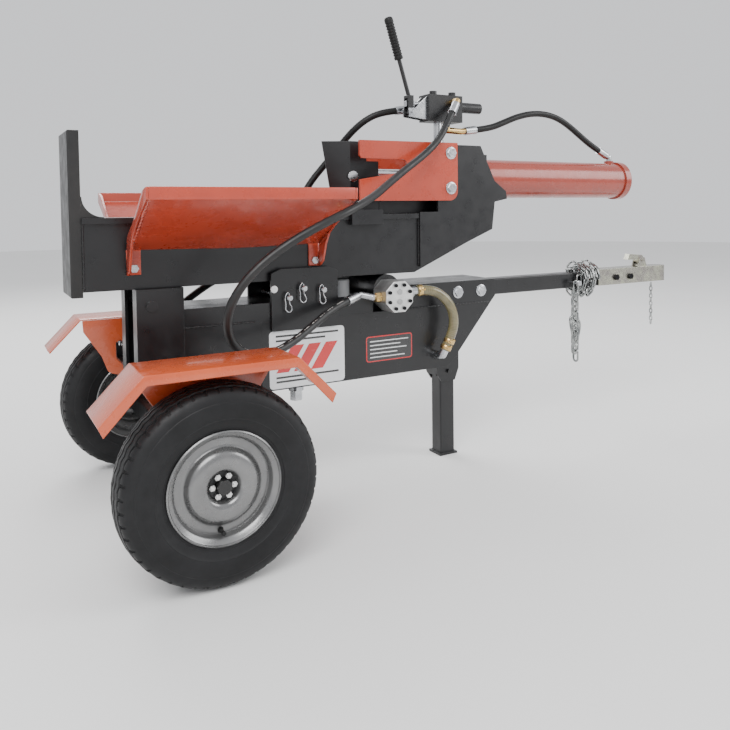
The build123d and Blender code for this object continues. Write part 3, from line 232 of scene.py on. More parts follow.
def edge_wear(tree, radius, low, high):
    """Nearly 0 on flat faces and up to 1 on sharp edges, with the softened normal."""
    soft = tree.nodes.new("ShaderNodeBevel")
    soft.samples = 4
    soft.inputs["Radius"].default_value = radius
    flat = tree.nodes.new("ShaderNodeNewGeometry")
    dot = tree.nodes.new("ShaderNodeVectorMath")
    dot.operation = "DOT_PRODUCT"
    tree.links.new(soft.outputs["Normal"], dot.inputs[0])
    tree.links.new(flat.outputs["Normal"], dot.inputs[1])
    return ranged(tree, dot.outputs["Value"], 1 - low, 1 - high, 0.0, 1.0), soft.outputs["Normal"]


def bumped(tree, shader, height, strength, distance, normal=None):
    node = tree.nodes.new("ShaderNodeBump")
    node.inputs["Strength"].default_value = strength
    node.inputs["Distance"].default_value = distance
    tree.links.new(height, node.inputs["Height"])
    if normal is not None:
        tree.links.new(normal, node.inputs["Normal"])
    tree.links.new(node.outputs["Normal"], shader.inputs["Normal"])


def enamel(name, colour, shade, worn, roughness=0.3, coat=0.3, peel=260.0, wear=0.5, metal=0.0):
    """Sprayed paint: orange peel, cloudy dust in its gloss, and rubbed edges."""
    made, tree, shader, place = blank(name)
    cloud = ranged(tree, noise(tree, place, 9.0), 0.35, 0.68, 0.0, 1.0)
    body = mixed(tree, cloud, colour, shade)
    edges, soft = edge_wear(tree, 0.0022, 0.05, 0.32)
    chips = ranged(tree, noise(tree, place, 85.0, 6.0, 0.7), 0.46, 0.6, 0.0, wear)
    rubbed = maths(tree, "MULTIPLY", edges, chips)
    tree.links.new(mixed(tree, rubbed, body, worn), shader.inputs["Base Color"])
    dull = ranged(tree, noise(tree, place, 26.0, 5.0, 0.6), 0.3, 0.72, roughness * 0.8, roughness * 1.45)
    tree.links.new(dull, shader.inputs["Roughness"])
    shader.inputs["Metallic"].default_value = metal
    shader.inputs["Coat Weight"].default_value = coat
    shader.inputs["Coat Roughness"].default_value = 0.12
    bumped(tree, shader, noise(tree, place, peel, 2.0), 0.16, 0.0006, soft)
    return made


def metal(name, colour, shade, roughness=0.28, grain=140.0, stretch=(1, 1, 1), strength=0.12):
    """Bare or plated metal: brushed grain, cloudy plating and polished edges."""
    made, tree, shader, place = blank(name)
    mapping = tree.nodes.new("ShaderNodeMapping")
    mapping.inputs["Scale"].default_value = stretch
    tree.links.new(place, mapping.inputs["Vector"])
    along_grain = mapping.outputs["Vector"]
    cloud = ranged(tree, noise(tree, place, 38.0, 3.0), 0.34, 0.66, 0.0, 1.0)
    edges, soft = edge_wear(tree, 0.0012, 0.04, 0.3)
    body = mixed(tree, cloud, colour, shade)
    bright = tuple(min(1.0, c * 1.25 + 0.06) for c in colour)
    worn = maths(tree, "MULTIPLY", edges, 0.6)
    tree.links.new(mixed(tree, worn, body, bright), shader.inputs["Base Color"])
    shader.inputs["Metallic"].default_value = 1.0
    rough = ranged(tree, noise(tree, along_grain, grain, 4.0), 0.3, 0.7, roughness * 0.7, roughness * 1.4)
    tree.links.new(rough, shader.inputs["Roughness"])
    bumped(tree, shader, noise(tree, along_grain, grain * 2, 3.0), strength, 0.0004, soft)
    return made


def moulded(name, colour, shade, roughness=0.55, grain=420.0, strength=0.25, specular=0.4):
    """Moulded rubber or plastic: fine grain, with bloom in cloudy patches."""
    made, tree, shader, place = blank(name)
    cloud = ranged(tree, noise(tree, place, 14.0, 5.0, 0.62), 0.36, 0.7, 0.0, 1.0)
    edges, soft = edge_wear(tree, 0.0015, 0.05, 0.4)
    body = mixed(tree, cloud, colour, shade)
    paler = tuple(c + 0.05 for c in shade)
    tree.links.new(mixed(tree, maths(tree, "MULTIPLY", edges, 0.4), body, paler), shader.inputs["Base Color"])
    rough = ranged(tree, noise(tree, place, 60.0, 4.0), 0.3, 0.7, roughness * 0.85, min(1.0, roughness * 1.2))
    tree.links.new(rough, shader.inputs["Roughness"])
    shader.inputs["Specular IOR Level"].default_value = specular
    bumped(tree, shader, noise(tree, place, grain, 3.0), strength, 0.0004, soft)
    return made


cradle_red = enamel("cradle_red", (0.42, 0.050, 0.022), (0.35, 0.040, 0.018), (0.72, 0.24, 0.12), 0.26, 0.45)
fender_red = enamel("fender_red", (0.54, 0.088, 0.022), (0.47, 0.068, 0.018), (0.80, 0.34, 0.18), 0.24, 0.5)
barrel_red = enamel("barrel_red", (0.30, 0.036, 0.018), (0.25, 0.030, 0.015), (0.6, 0.2, 0.1), 0.26, 0.45)
frame_black = enamel("frame_black", (0.0030, 0.0030, 0.0036), (0.0065, 0.0065, 0.0075),
                     (0.06, 0.06, 0.06), 0.30, 0.1)
valve_black = enamel("valve_black", (0.003, 0.003, 0.0035), (0.007, 0.007, 0.008),
                     (0.08, 0.08, 0.08), 0.40, 0.05)
worn_black = enamel("worn_black", (0.004, 0.004, 0.004), (0.012, 0.011, 0.010), (0.38, 0.36, 0.33), 0.4, 0.1,
                    wear=1.0)
wheel_silver = enamel("wheel_silver", (0.22, 0.22, 0.22), (0.16, 0.16, 0.16), (0.55, 0.55, 0.54), 0.26, 0.3,
                      metal=0.75)
filter_grey = enamel("filter_grey", (0.50, 0.51, 0.52), (0.42, 0.43, 0.44), (0.66, 0.66, 0.66), 0.36, 0.2)
engine_black = enamel("engine_black", (0.016, 0.016, 0.018), (0.026, 0.026, 0.028),
                      (0.12, 0.12, 0.12), 0.38, 0.2)
bright_zinc = metal("bright_zinc", (0.60, 0.61, 0.62), (0.40, 0.41, 0.43), 0.22)
chain_zinc = metal("chain_zinc", (0.42, 0.43, 0.42), (0.16, 0.17, 0.17), 0.2)
yellow_zinc = metal("yellow_zinc", (0.42, 0.42, 0.34), (0.30, 0.28, 0.26), 0.28)
ground_steel = metal("ground_steel", (0.80, 0.80, 0.81), (0.72, 0.72, 0.74), 0.12, 240.0, (0.05, 1, 1), 0.05)
brass = metal("brass", (0.72, 0.50, 0.20), (0.56, 0.38, 0.16), 0.26)
pump_alloy = metal("pump_alloy", (0.72, 0.72, 0.71), (0.60, 0.60, 0.59), 0.42, 300.0, (1, 1, 1), 0.3)
cast_alloy = metal("cast_alloy", (0.50, 0.50, 0.50), (0.38, 0.38, 0.38), 0.5, 420.0, (1, 1, 1), 0.5)
heat_steel = metal("heat_steel", (0.36, 0.30, 0.25), (0.22, 0.20, 0.20), 0.42, 120.0, (1, 1, 1), 0.3)
tyre_rubber = moulded("tyre_rubber", (0.004, 0.004, 0.0045), (0.010, 0.010, 0.011), 0.5, 700.0, 0.3, 0.3)
hose_rubber = moulded("hose_rubber", (0.004, 0.004, 0.004), (0.009, 0.009, 0.009), 0.4, 900.0, 0.2, 0.3)
grip_rubber = moulded("grip_rubber", (0.005, 0.005, 0.005), (0.011, 0.011, 0.011), 0.5, 900.0, 0.2, 0.3)
black_plastic = moulded("black_plastic", (0.008, 0.008, 0.008), (0.016, 0.016, 0.016), 0.45, 1100.0, 0.3, 0.3)
hub_black, tree, shader, place = blank("hub_black_and_nuts")
split = tree.nodes.new("ShaderNodeSeparateXYZ")
tree.links.new(place, split.inputs[0])
off_x = maths(tree, "SUBTRACT", split.outputs[0], axle_x)
off_z = maths(tree, "SUBTRACT", split.outputs[2], wheel_height)
reach = maths(tree, "SQRT", maths(tree, "ADD", maths(tree, "MULTIPLY", off_x, off_x),
                                  maths(tree, "MULTIPLY", off_z, off_z)), 0)
outside = maths(tree, "MULTIPLY",
                maths(tree, "GREATER_THAN", maths(tree, "ABSOLUTE", split.outputs[1], 0), 0.4402),
                maths(tree, "GREATER_THAN", reach, 0.0152))
tree.links.new(mixed(tree, outside, (0.012, 0.012, 0.012), (0.74, 0.74, 0.73)), shader.inputs["Base Color"])
tree.links.new(outside, shader.inputs["Metallic"])
tree.links.new(ranged(tree, noise(tree, place, 90.0), 0.3, 0.7, 0.2, 0.42), shader.inputs["Roughness"])
edges, soft = edge_wear(tree, 0.001, 0.05, 0.4)
bumped(tree, shader, noise(tree, place, 300.0), 0.15, 0.0004, soft)

bolt_zinc, tree, shader, place = blank("bolt_zinc")
split = tree.nodes.new("ShaderNodeSeparateXYZ")
tree.links.new(place, split.inputs[0])
# Bolts near the pump, and those more than 1.45 m from the axle, are mixed to near-black. At the coupler end
# this is painted shade: the zinc bolt heads are darkened to stand for their shadowed holes.
near_pump = maths(tree, "MULTIPLY", maths(tree, "LESS_THAN", split.outputs[1], -0.1285),
                  maths(tree, "LESS_THAN", split.outputs[2], 0.56))
dark = maths(tree, "MAXIMUM", near_pump, maths(tree, "GREATER_THAN", split.outputs[0], axle_x + 1.45))
tone = ranged(tree, noise(tree, place, 60.0), 0.35, 0.65, 0.0, 1.0)
plated_tone = mixed(tree, tone, (0.60, 0.61, 0.62), (0.42, 0.43, 0.45))
tree.links.new(mixed(tree, dark, plated_tone, (0.02, 0.02, 0.022)), shader.inputs["Base Color"])
shader.inputs["Metallic"].default_value = 1.0
tree.links.new(ranged(tree, noise(tree, place, 160.0), 0.3, 0.7, 0.18, 0.36), shader.inputs["Roughness"])
edges, soft = edge_wear(tree, 0.001, 0.05, 0.4)
bumped(tree, shader, noise(tree, place, 300.0), 0.1, 0.0004, soft)

suction_clear, tree, shader, place = blank("suction_clear")
wrap = tree.nodes.new("ShaderNodeTexCoord")
uv = tree.nodes.new("ShaderNodeSeparateXYZ")
tree.links.new(wrap.outputs["UV"], uv.inputs[0])
braid = maths(tree, "ABSOLUTE", maths(tree, "SINE", maths(tree, "MULTIPLY", uv.outputs[0], 150.0), 0), 0)
cloud = ranged(tree, noise(tree, place, 40.0, 4.0), 0.35, 0.65, 0.0, 1.0)
oily = mixed(tree, cloud, (0.085, 0.070, 0.028), (0.15, 0.125, 0.055))
tree.links.new(mixed(tree, maths(tree, "MULTIPLY", braid, 0.25), oily, (0.30, 0.27, 0.16)),
               shader.inputs["Base Color"])
shader.inputs["Roughness"].default_value = 0.18
shader.inputs["Coat Weight"].default_value = 0.6
shader.inputs["Subsurface Weight"].default_value = 0.12
shader.inputs["Subsurface Scale"].default_value = 0.01
bumped(tree, shader, braid, 0.2, 0.0005)

marked_hose, tree, shader, place = blank("marked_hose")
wrap = tree.nodes.new("ShaderNodeTexCoord")
uv = tree.nodes.new("ShaderNodeSeparateXYZ")
tree.links.new(wrap.outputs["UV"], uv.inputs[0])
run = maths(tree, "FRACT", maths(tree, "MULTIPLY", uv.outputs[0], 46.0), 0)
dash = maths(tree, "LESS_THAN", run, 0.62)
off_line = maths(tree, "ABSOLUTE", maths(tree, "SUBTRACT", uv.outputs[1], 0.70), 0)
band = maths(tree, "LESS_THAN", off_line, 0.016)
faded = maths(tree, "GREATER_THAN", noise(tree, place, 240.0, 3.0), 0.46)
mark = maths(tree, "MULTIPLY", maths(tree, "MULTIPLY", dash, band), faded)
cloud = ranged(tree, noise(tree, place, 14.0, 5.0), 0.36, 0.7, 0.0, 1.0)
rubber = mixed(tree, cloud, (0.004, 0.004, 0.004), (0.009, 0.009, 0.009))
tree.links.new(mixed(tree, mark, rubber, (0.45, 0.44, 0.42)), shader.inputs["Base Color"])
tree.links.new(ranged(tree, noise(tree, place, 60.0), 0.3, 0.7, 0.34, 0.5), shader.inputs["Roughness"])
bumped(tree, shader, noise(tree, place, 900.0), 0.2, 0.0004)

decal_white = enamel("decal_white", (0.74, 0.75, 0.76), (0.66, 0.67, 0.68),
                     (0.5, 0.5, 0.5), 0.22, 0.5, wear=0.1)
decal_red = enamel("decal_red", (0.62, 0.020, 0.022), (0.52, 0.015, 0.018),
                   (0.6, 0.3, 0.3), 0.22, 0.5, wear=0.1)
decal_black = enamel("decal_black", (0.012, 0.012, 0.013), (0.02, 0.02, 0.02),
                     (0.2, 0.2, 0.2), 0.24, 0.5, wear=0.1)

finishes = {
    cradle_red: ("stripper_plates",),
    barrel_red: ("cylinder_barrel",),
    frame_black: ("beam", "wedge", "cylinder_bracket", "beam_saddle", "frame_rails", "rear_posts",
                  "reservoir", "tongue_box", "tongue", "chassis_brackets", "axle", "pump_mount", "stand_leg"),
    worn_black: ("foot_plate",),
    valve_black: ("valve_body", "valve_lever"),
    bolt_zinc: ("frame_bolts",),
    bright_zinc: ("lever_bracket", "hose_ferrules", "steel_fittings", "valve_spool"),
    yellow_zinc: ("coupler", "coupler_latch"),
    ground_steel: ("piston_rod", "crankshaft", "pump_drive_gear", "pump_idler_gear", "rod_gland",
                   "wedge_pin"),
    brass: ("valve_fittings",),
    pump_alloy: ("pump_cover", "pump_body"),
    cast_alloy: ("engine_block",),
    wheel_silver: ("rim_near", "rim_far"),
    hub_black: ("hub_near", "hub_far"),
    tyre_rubber: ("tyre_near", "tyre_far"),
    hose_rubber: ("pressure_hose", "return_hose", "cylinder_hose", "suction_hose"),
    grip_rubber: ("lever_grip",),
    black_plastic: ("filler_cap", "fuel_cap", "air_cleaner", "fuel_tank"),
    filter_grey: ("return_filter",),
    engine_black: ("engine_shroud",),
    heat_steel: ("muffler",),
    fender_red: ("fender_near", "fender_far"),
}
coated = {node: made for made, names in finishes.items() for node in names}
for node, piece in nodes.items():
    made = coated.get(node, chain_zinc if "chain" in node or "pin" in node else cradle_red)
    for holder in [piece, *piece.children]:
        if holder.type == "MESH":
            for place_on in holder.material_slots:
                place_on.material = made


# ---- Making pieces ----------------------------------------------------------------------------
def only(piece):
    bpy.ops.object.select_all(action="DESELECT")
    piece.select_set(True)
    bpy.context.view_layer.objects.active = piece


def settled(name):
    """The piece just added, named, with its place moved into its mesh."""
    piece = bpy.context.object
    piece.name = name
    only(piece)
    bpy.ops.object.transform_apply(location=True, rotation=True, scale=True)
    return piece


def traced(name, points):
    """A line of edges from point to point, drawn by extruding one corner."""
    bpy.ops.object.select_all(action="DESELECT")
    bpy.ops.mesh.primitive_plane_add(size=0.001, location=points[0])
    piece = settled(name)
    bpy.ops.object.mode_set(mode="EDIT")
    bpy.ops.mesh.select_all(action="SELECT")
    bpy.ops.mesh.merge(type="CENTER")
    for before, after in zip(points, points[1:]):
        bpy.ops.mesh.extrude_region_move(TRANSFORM_OT_translate={"value": Vector(after) - Vector(before)})
    bpy.ops.object.mode_set(mode="OBJECT")
    return piece


def spun(name, outline, centre, axis, steps=64):
    """A turned piece: its outline swept round an axis."""
    piece = traced(name, outline)
    bpy.ops.object.mode_set(mode="EDIT")
    bpy.ops.mesh.select_all(action="SELECT")
    bpy.ops.mesh.spin(steps=steps, angle=2 * pi, center=centre, axis=axis)
    bpy.ops.mesh.select_all(action="SELECT")
    bpy.ops.mesh.remove_doubles(threshold=0.00002)
    bpy.ops.mesh.normals_make_consistent(inside=False)
    bpy.ops.object.mode_set(mode="OBJECT")
    return piece


def plated(name, outline, depth):
    """A flat plate: a closed outline filled and given its thickness."""
    piece = traced(name, [*outline, outline[0]])
    bpy.ops.object.mode_set(mode="EDIT")
    bpy.ops.mesh.select_all(action="SELECT")
    bpy.ops.mesh.remove_doubles(threshold=0.00002)
    bpy.ops.mesh.edge_face_add()
    bpy.ops.mesh.extrude_region_move(TRANSFORM_OT_translate={"value": Vector(depth)})
    bpy.ops.mesh.select_all(action="SELECT")
    bpy.ops.mesh.normals_make_consistent(inside=False)
    bpy.ops.object.mode_set(mode="OBJECT")
    return piece


def finished(piece, made, body="root", bevel=0.0, segments=2, wall=0.0, smooth=38, angle=30):
    """Wall thickness, rounded edges, shading, material and the body that carries the piece."""
    only(piece)
    if wall:
        sheet = piece.modifiers.new("wall", "SOLIDIFY")
        sheet.thickness = wall
        sheet.offset = 0
        sheet.use_even_offset = True
        bpy.ops.object.modifier_apply(modifier=sheet.name)
    if bevel:
        edge = piece.modifiers.new("edges", "BEVEL")
        edge.width = bevel
        edge.segments = segments
        edge.limit_method = "ANGLE"
        edge.angle_limit = radians(angle)
        bpy.ops.object.modifier_apply(modifier=edge.name)
    bpy.ops.object.shade_smooth_by_angle(angle=radians(smooth))
    piece.data.materials.clear()
    piece.data.materials.append(made)
    if body:
        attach(piece, body)
    return piece


def joined(name, pieces):
    bpy.ops.object.select_all(action="DESELECT")
    for piece in pieces:
        piece.select_set(True)
    bpy.context.view_layer.objects.active = pieces[0]
    if len(pieces) > 1:
        bpy.ops.object.join()
    whole = bpy.context.view_layer.objects.active
    whole.name = name
    return whole


def copied(piece, turn):
    """A copy with its own mesh, moved or turned by a matrix that is then applied."""
    other = piece.copy()
    other.data = piece.data.copy()
    bpy.context.collection.objects.link(other)
    other.matrix_world = turn
    only(other)
    bpy.ops.object.transform_apply(location=True, rotation=True, scale=True)
    return other


def wire(name, points, radius, closed=False):
    """Bent wire or bar through points, as a mesh."""
    line = bpy.data.curves.new(name, "CURVE")
    line.dimensions = "3D"
    spline = line.splines.new("NURBS")
    spline.points.add(len(points) - 1)
    for point, place in zip(spline.points, points):
        point.co = (*place, 1)
    spline.order_u = 3
    spline.use_endpoint_u = not closed
    spline.use_cyclic_u = closed
    line.resolution_u = 5
    line.bevel_depth = radius
    line.bevel_resolution = 3
    line.use_fill_caps = True
    piece = bpy.data.objects.new(name, line)
    bpy.context.collection.objects.link(piece)
    only(piece)
    bpy.ops.object.convert(target="MESH")
    return bpy.context.object


def on_axis(points, middle, side):
    """Outline points given as (out from the wheel's middle, radius) in millimetres."""
    return [at(0, middle + side * y, 0) + Vector((0, 0, wheel_height + r / 1000)) for y, r in points]


# ---- Hoses' finishes --------------------------------------------------------------------------
for piece, made in ((pressure_line, marked_hose), (return_line, hose_rubber), (cylinder_line, hose_rubber),
                    (suction_line, suction_clear)):
    piece.data.materials.append(made)

# ---- Wheels -----------------------------------------------------------------------------------
tread_steps = 192
half_track = 414
half_tyre = [(0, 198.2), (2.6, 198.2), (3.8, 202.9), (13.6, 202.0), (14.8, 196.8), (18.6, 196.6),
             (19.8, 201.2), (29.8, 199.4), (31.0, 194.0), (34.6, 193.6), (35.8, 198.0), (41.5, 196.4),
             (45.5, 194.0), (49.0, 190.6), (51.5, 187.0), (54.0, 181.5), (56.0, 175.0), (56.3, 172.6),
             (57.6, 171.2), (59.2, 162.5), (59.6, 153.0), (58.6, 145.0), (56.8, 139.2), (57.3, 138.0),
             (56.4, 136.6), (54.6, 133.0), (51.6, 124.0), (50.8, 121.8), (49.4, 121.6), (48.2, 116.0),
             (46.6, 112.6), (43.6, 107.0), (38.0, 103.4)]
outline = [(-y, r) for y, r in half_tyre[::-1][:-1]] + half_tyre + [(-38.0, 103.4)]
for label, middle, side in (("near", -half_track, -1), ("far", half_track, 1)):
    body = "wheel_" + label
    centre = at(0, middle, 0) + Vector((0, 0, wheel_height))
    tyre = spun("tyre_with_tread_" + label, on_axis(outline, middle, side), centre, (0, 1, 0), tread_steps)
    only(tyre)
    bpy.ops.object.mode_set(mode="EDIT")
    bpy.ops.mesh.select_mode(type="VERT")
    for phase, shift in ((0, 0.0030), (2, -0.0030)):
        bpy.ops.mesh.select_all(action="DESELECT")
        bpy.ops.object.mode_set(mode="OBJECT")
        for corner in tyre.data.vertices:
            spoke = corner.co - centre
            step = round(atan2(spoke.x, spoke.z) / (2 * pi) * tread_steps) % 4
            inner = abs(spoke.y) < 0.037 and abs(spoke.y) > 0.001 and Vector((spoke.x, spoke.z)).length > 0.19
            corner.select = inner and step == phase
        bpy.ops.object.mode_set(mode="EDIT")
        bpy.ops.transform.translate(value=(0, shift, 0))
    bpy.ops.object.mode_set(mode="OBJECT")
    for wall in tyre.data.polygons:
        spoke = wall.center - centre
        step = int((atan2(spoke.x, spoke.z) % (2 * pi)) / (2 * pi) * tread_steps)
        rise = Vector((spoke.x, spoke.z)).length
        on_shoulder = 0.189 < rise < 0.1975 and abs(spoke.y) > 0.0355
        wall.select = on_shoulder and step % 4 == (0 if spoke.y > 0 else 2)
    for edge in tyre.data.edges:
        edge.select = False
    for corner in tyre.data.vertices:
        corner.select = False
    bpy.ops.object.mode_set(mode="EDIT")
    bpy.ops.mesh.select_mode(type="FACE")
    bpy.ops.mesh.extrude_region_shrink_fatten(TRANSFORM_OT_shrink_fatten={"value": -0.0025})
    bpy.ops.mesh.select_mode(type="VERT")
    bpy.ops.object.mode_set(mode="OBJECT")
    finished(tyre, tyre_rubber, body, smooth=28)
    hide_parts("tyre_" + label)

    barrel_half = [(0, 79.6), (15.0, 79.6), (18.5, 82.6), (22.0, 91.5), (24.6, 96.6), (28.5, 99.4),
                   (38.5, 100.6), (41.2, 103.2), (44.2, 108.6), (46.8, 112.4), (50.0, 113.2), (51.4, 111.0)]
    path = [(-y, r) for y, r in barrel_half[::-1][:-1]] + barrel_half
    barrel = spun("rim_barrel", on_axis(path, middle, side), centre, (0, 1, 0), 96)
    finished(barrel, wheel_silver, None, wall=0.0032, smooth=40)
    dish_path = [(24.5, 95.5), (25.2, 89.0), (24.6, 82.0), (25.6, 77.0), (29.0, 73.4), (34.0, 71.2),
                 (38.4, 68.0), (41.2, 63.0), (42.4, 57.0), (42.6, 48.0), (41.8, 40.0), (40.0, 36.2),
                 (36.0, 33.6), (30.0, 32.2), (26.2, 31.0), (24.5, 29.6)]
    dish = spun("rim_dish", on_axis(dish_path, middle, side), centre, (0, 1, 0), 96)
    finished(dish, wheel_silver, None, wall=0.0046, smooth=40)
    rim = joined("dished_rim_" + label, [barrel, dish])
    finished(rim, wheel_silver, body, smooth=40)
    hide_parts("rim_" + label)

    spacer_path = [(22.2, 15.4), (26.9, 15.4), (26.9, 28.4), (25.4, 30.2), (22.2, 30.2), (22.2, 15.4)]
    spacer = spun("hub_recess_" + label, on_axis(spacer_path, middle, side), centre, (0, 1, 0), 48)
    finished(spacer, valve_black, body, smooth=35)
    foot = centre + Vector((-0.006, side * 0.024, -0.088))
    stem = [foot + Vector((r / 1000, side * y / 1000, 0)) for y, r in
            ((0, 0), (0, 6.6), (2, 7.2), (4, 5.6), (13, 4.2), (14, 3.2), (20, 3.2), (20.4, 4.2), (27, 4.2),
             (27.8, 3.4), (28, 0))]
    valve = spun("tyre_valve_" + label, stem, foot, (0, 1, 0), 20)
    finished(valve, hose_rubber, body, smooth=35)

# ---- Fenders ----------------------------------------------------------------------------------
fender_profile = [(-232, 362), (-152, 446), (152, 446), (232, 362)]
for label, side in (("near", -1), ("far", 1)):
    inner, outer = side * 342, side * 482
    top = traced("fender_top", [at(x, inner, z) for x, z in fender_profile])
    bpy.ops.object.mode_set(mode="EDIT")
    bpy.ops.mesh.select_all(action="SELECT")
    across = (outer - inner) / 1000 - side * 0.0015
    bpy.ops.mesh.extrude_region_move(TRANSFORM_OT_translate={"value": (0, across, 0)})
    bpy.ops.mesh.extrude_region_move(TRANSFORM_OT_translate={"value": (0, 0, -0.018)})
    bpy.ops.transform.resize(value=(0.965, 1, 1), center_override=at(0, outer, 400))
    bpy.ops.object.mode_set(mode="OBJECT")
    finished(top, fender_red, None, bevel=0.003, segments=3, wall=0.003, angle=25)
    lobe = [at(86 * cos(radians(a)), inner, 300 - 22 * sin(radians(a))) for a in range(0, 181, 15)]
    web_outline = [at(-148, inner, 444), at(148, inner, 444), at(146, inner, 412), at(100, inner, 340), *lobe,
                   at(-100, inner, 340), at(-146, inner, 412)]
    web = plated("fender_web", web_outline, (0, side * 0.003, 0))
    finished(web, fender_red, None, bevel=0.0012, segments=2)
    brace = [web]
    for x in (-50, 50):
        head = spun("web_bolt", [at(x, inner - side * y, 372 + r) for y, r in
                                 ((0, 0), (0, 9), (1.6, 9), (1.6, 6.6), (6, 6.0), (6.8, 4.8), (7, 0))],
                    at(x, inner, 372), (0, 1, 0), 18)
        finished(head, bright_zinc, "root")
        head.name = "web_bolt_%s_%s" % (label, "back" if x < 0 else "front")
    fender = joined("folded_fender_" + label, [top, *brace])
    finished(fender, fender_red, "root", smooth=35)
    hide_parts("fender_" + label)

# ---- Log cradles ------------------------------------------------------------------------------
for label, side in (("near", -1), ("far", 1)):
    back, front, low, high = -98, 375, 87, 301
    corner = {
        "top_back": at(back, side * high, 797.5), "top_front": at(front, side * high, 797.5),
        "fold_back": at(back, side * high, 771), "fold_front": at(front, side * high, 771),
        "foot_back": at(back, side * low, 659), "foot_front": at(front, side * low, 659),
        "foot_middle": at(152, side * (low + 9), 655),
    }
    panels = []
    for names in (("top_back", "top_front", "fold_front", "fold_back"),
                  ("fold_back", "fold_front", "foot_middle"),
                  ("fold_back", "foot_middle", "foot_back"),
                  ("fold_front", "foot_front", "foot_middle")):
        panel = traced("panel", [corner[n] for n in (*names, names[0])])
        bpy.ops.object.mode_set(mode="EDIT")
        bpy.ops.mesh.select_all(action="SELECT")
        bpy.ops.mesh.remove_doubles(threshold=0.00002)
        bpy.ops.mesh.edge_face_add()
        bpy.ops.object.mode_set(mode="OBJECT")
        panels.append(panel)
    sheet = joined("cradle_sheet", panels)
    bpy.ops.object.mode_set(mode="EDIT")
    bpy.ops.mesh.select_all(action="SELECT")
    bpy.ops.mesh.remove_doubles(threshold=0.00002)
    bpy.ops.mesh.normals_make_consistent(inside=False)
    bpy.ops.object.mode_set(mode="OBJECT")
    finished(sheet, cradle_red, None, bevel=0.0018, segments=3, wall=0.004, angle=4)
    rib_outline = [(75, 600), (84, 598), (96, 604), (107, 612), (116, 632), (127, 658), (146, 684),
                   (179, 709), (240, 742), (303, 770), (303, 797), (268, 790), (197, 744), (160, 722),
                   (123, 704), (92, 688), (87, 680), (87, 638), (75, 636)]
    parts = [sheet]
    for x in (back - 6, front):
        rib = plated("cradle_rib", [at(x, side * y, z) for y, z in rib_outline], (0.006, 0, 0))
        finished(rib, cradle_red, None, bevel=0.0012, segments=2)
        parts.append(rib)
    tab_side = side * 75.2
    for x in (back - 6, front - 26):
        tab = plated("cradle_foot", [at(x, tab_side, 599), at(x + 32, tab_side, 599),
                                     at(x + 32, tab_side, 658), at(x, tab_side, 658)], (0, side * 0.006, 0))
        finished(tab, cradle_red, None, bevel=0.0012, segments=2)
        parts.append(tab)
    for x in (back, front - 2):
        seam = wire("cradle_weld", [at(x + 1 + 2 * sin(n * 2.4), side * (96 + 204 * n / 40),
                                       656 + 112 * n / 40) for n in range(41)], 0.0022)
        finished(seam, cradle_red, None)
        parts.append(seam)
    cradle = joined("folded_cradle_" + label, parts)
    finished(cradle, cradle_red, "root", smooth=30)
    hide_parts("log_cradle_" + label)

# ---- Decals -----------------------------------------------------------------------------------
def label_outline(x0, x1, z0, z1, y, corner=10.0):
    """The rounded rectangle that a label is cut to, in millimetres."""
    points = []
    for cx, cz, start in ((x1 - corner, z1 - corner, 0), (x0 + corner, z1 - corner, 90),
                          (x0 + corner, z0 + corner, 180), (x1 - corner, z0 + corner, 270)):
        for step in range(5):
            angle = radians(start + 22.5 * step)
            points.append(at(cx + corner * cos(angle), y, cz + corner * sin(angle)))
    return points


def label_bar(low, high, foot, top, y, made, slant=0):
    """A printed bar from low to high along X, its top shifted by slant."""
    bar = plated("label_bar", [at(low, y, foot), at(high, y, foot), at(high + slant, y, top),
                               at(low + slant, y, top)], (0, -0.0003, 0))
    finished(bar, made, None)
    return bar


label_y = side_face * 1000
panel = plated("tank_label", label_outline(234, 446, 287, 436, label_y - 0.1), (0, -0.0004, 0))
finished(panel, decal_white, "root")
bars = [label_bar(x, x + 34, 328, 396, label_y - 0.5, decal_red, slant=44) for x in (252, 300, 348)]
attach(joined("tank_label_red_bars", bars), "root")
bars = [label_bar(x0, x1, z, z + 5, label_y - 0.5, decal_black) for z, x0, x1 in
        ((420, 252, 428), (408, 252, 390), (313, 252, 428), (302, 252, 350))]
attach(joined("tank_label_black_bars", bars), "root")
frame_outline = label_outline(512, 659, 325, 396, label_y - 0.1, 8)
panel = plated("notice_label_edge", frame_outline, (0, -0.0003, 0))
finished(panel, decal_red, "root")
panel = plated("notice_label", label_outline(515, 656, 328, 393, label_y - 0.4, 6), (0, -0.0003, 0))
finished(panel, decal_black, "root")
bars = [label_bar(524, end, z, z + 3, label_y - 0.7, decal_white) for z, end in
        ((380, 646), (369, 620), (358, 640), (347, 610), (336, 634))]
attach(joined("notice_label_lines", bars), "root")

# ---- Valve lever's grip -----------------------------------------------------------------------
lean = radians(-17)
lever_foot = at(708, 0, 1074)
stem_way = Vector((sin(lean), 0, cos(lean)))
stem_side = Vector((cos(lean), 0, -sin(lean)))
ribs = [(108, 0), (108, 9.5), (109, 12.2), (113, 12.9)]
for n in range(12):
    start = 117 + n * 8.4
    ribs += [(start, 12.9), (start + 1.2, 11.3), (start + 3.2, 11.3), (start + 4.4, 12.9)]
ribs += [(221, 12.9), (226, 12.4), (229.4, 10.4), (231.4, 6.5), (232, 0)]
grip = spun("ribbed_grip", [lever_foot + stem_way * t / 1000 + stem_side * r / 1000 for t, r in ribs],
            lever_foot, stem_way, 36)
finished(grip, grip_rubber, "lever", smooth=35)
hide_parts("lever_grip")

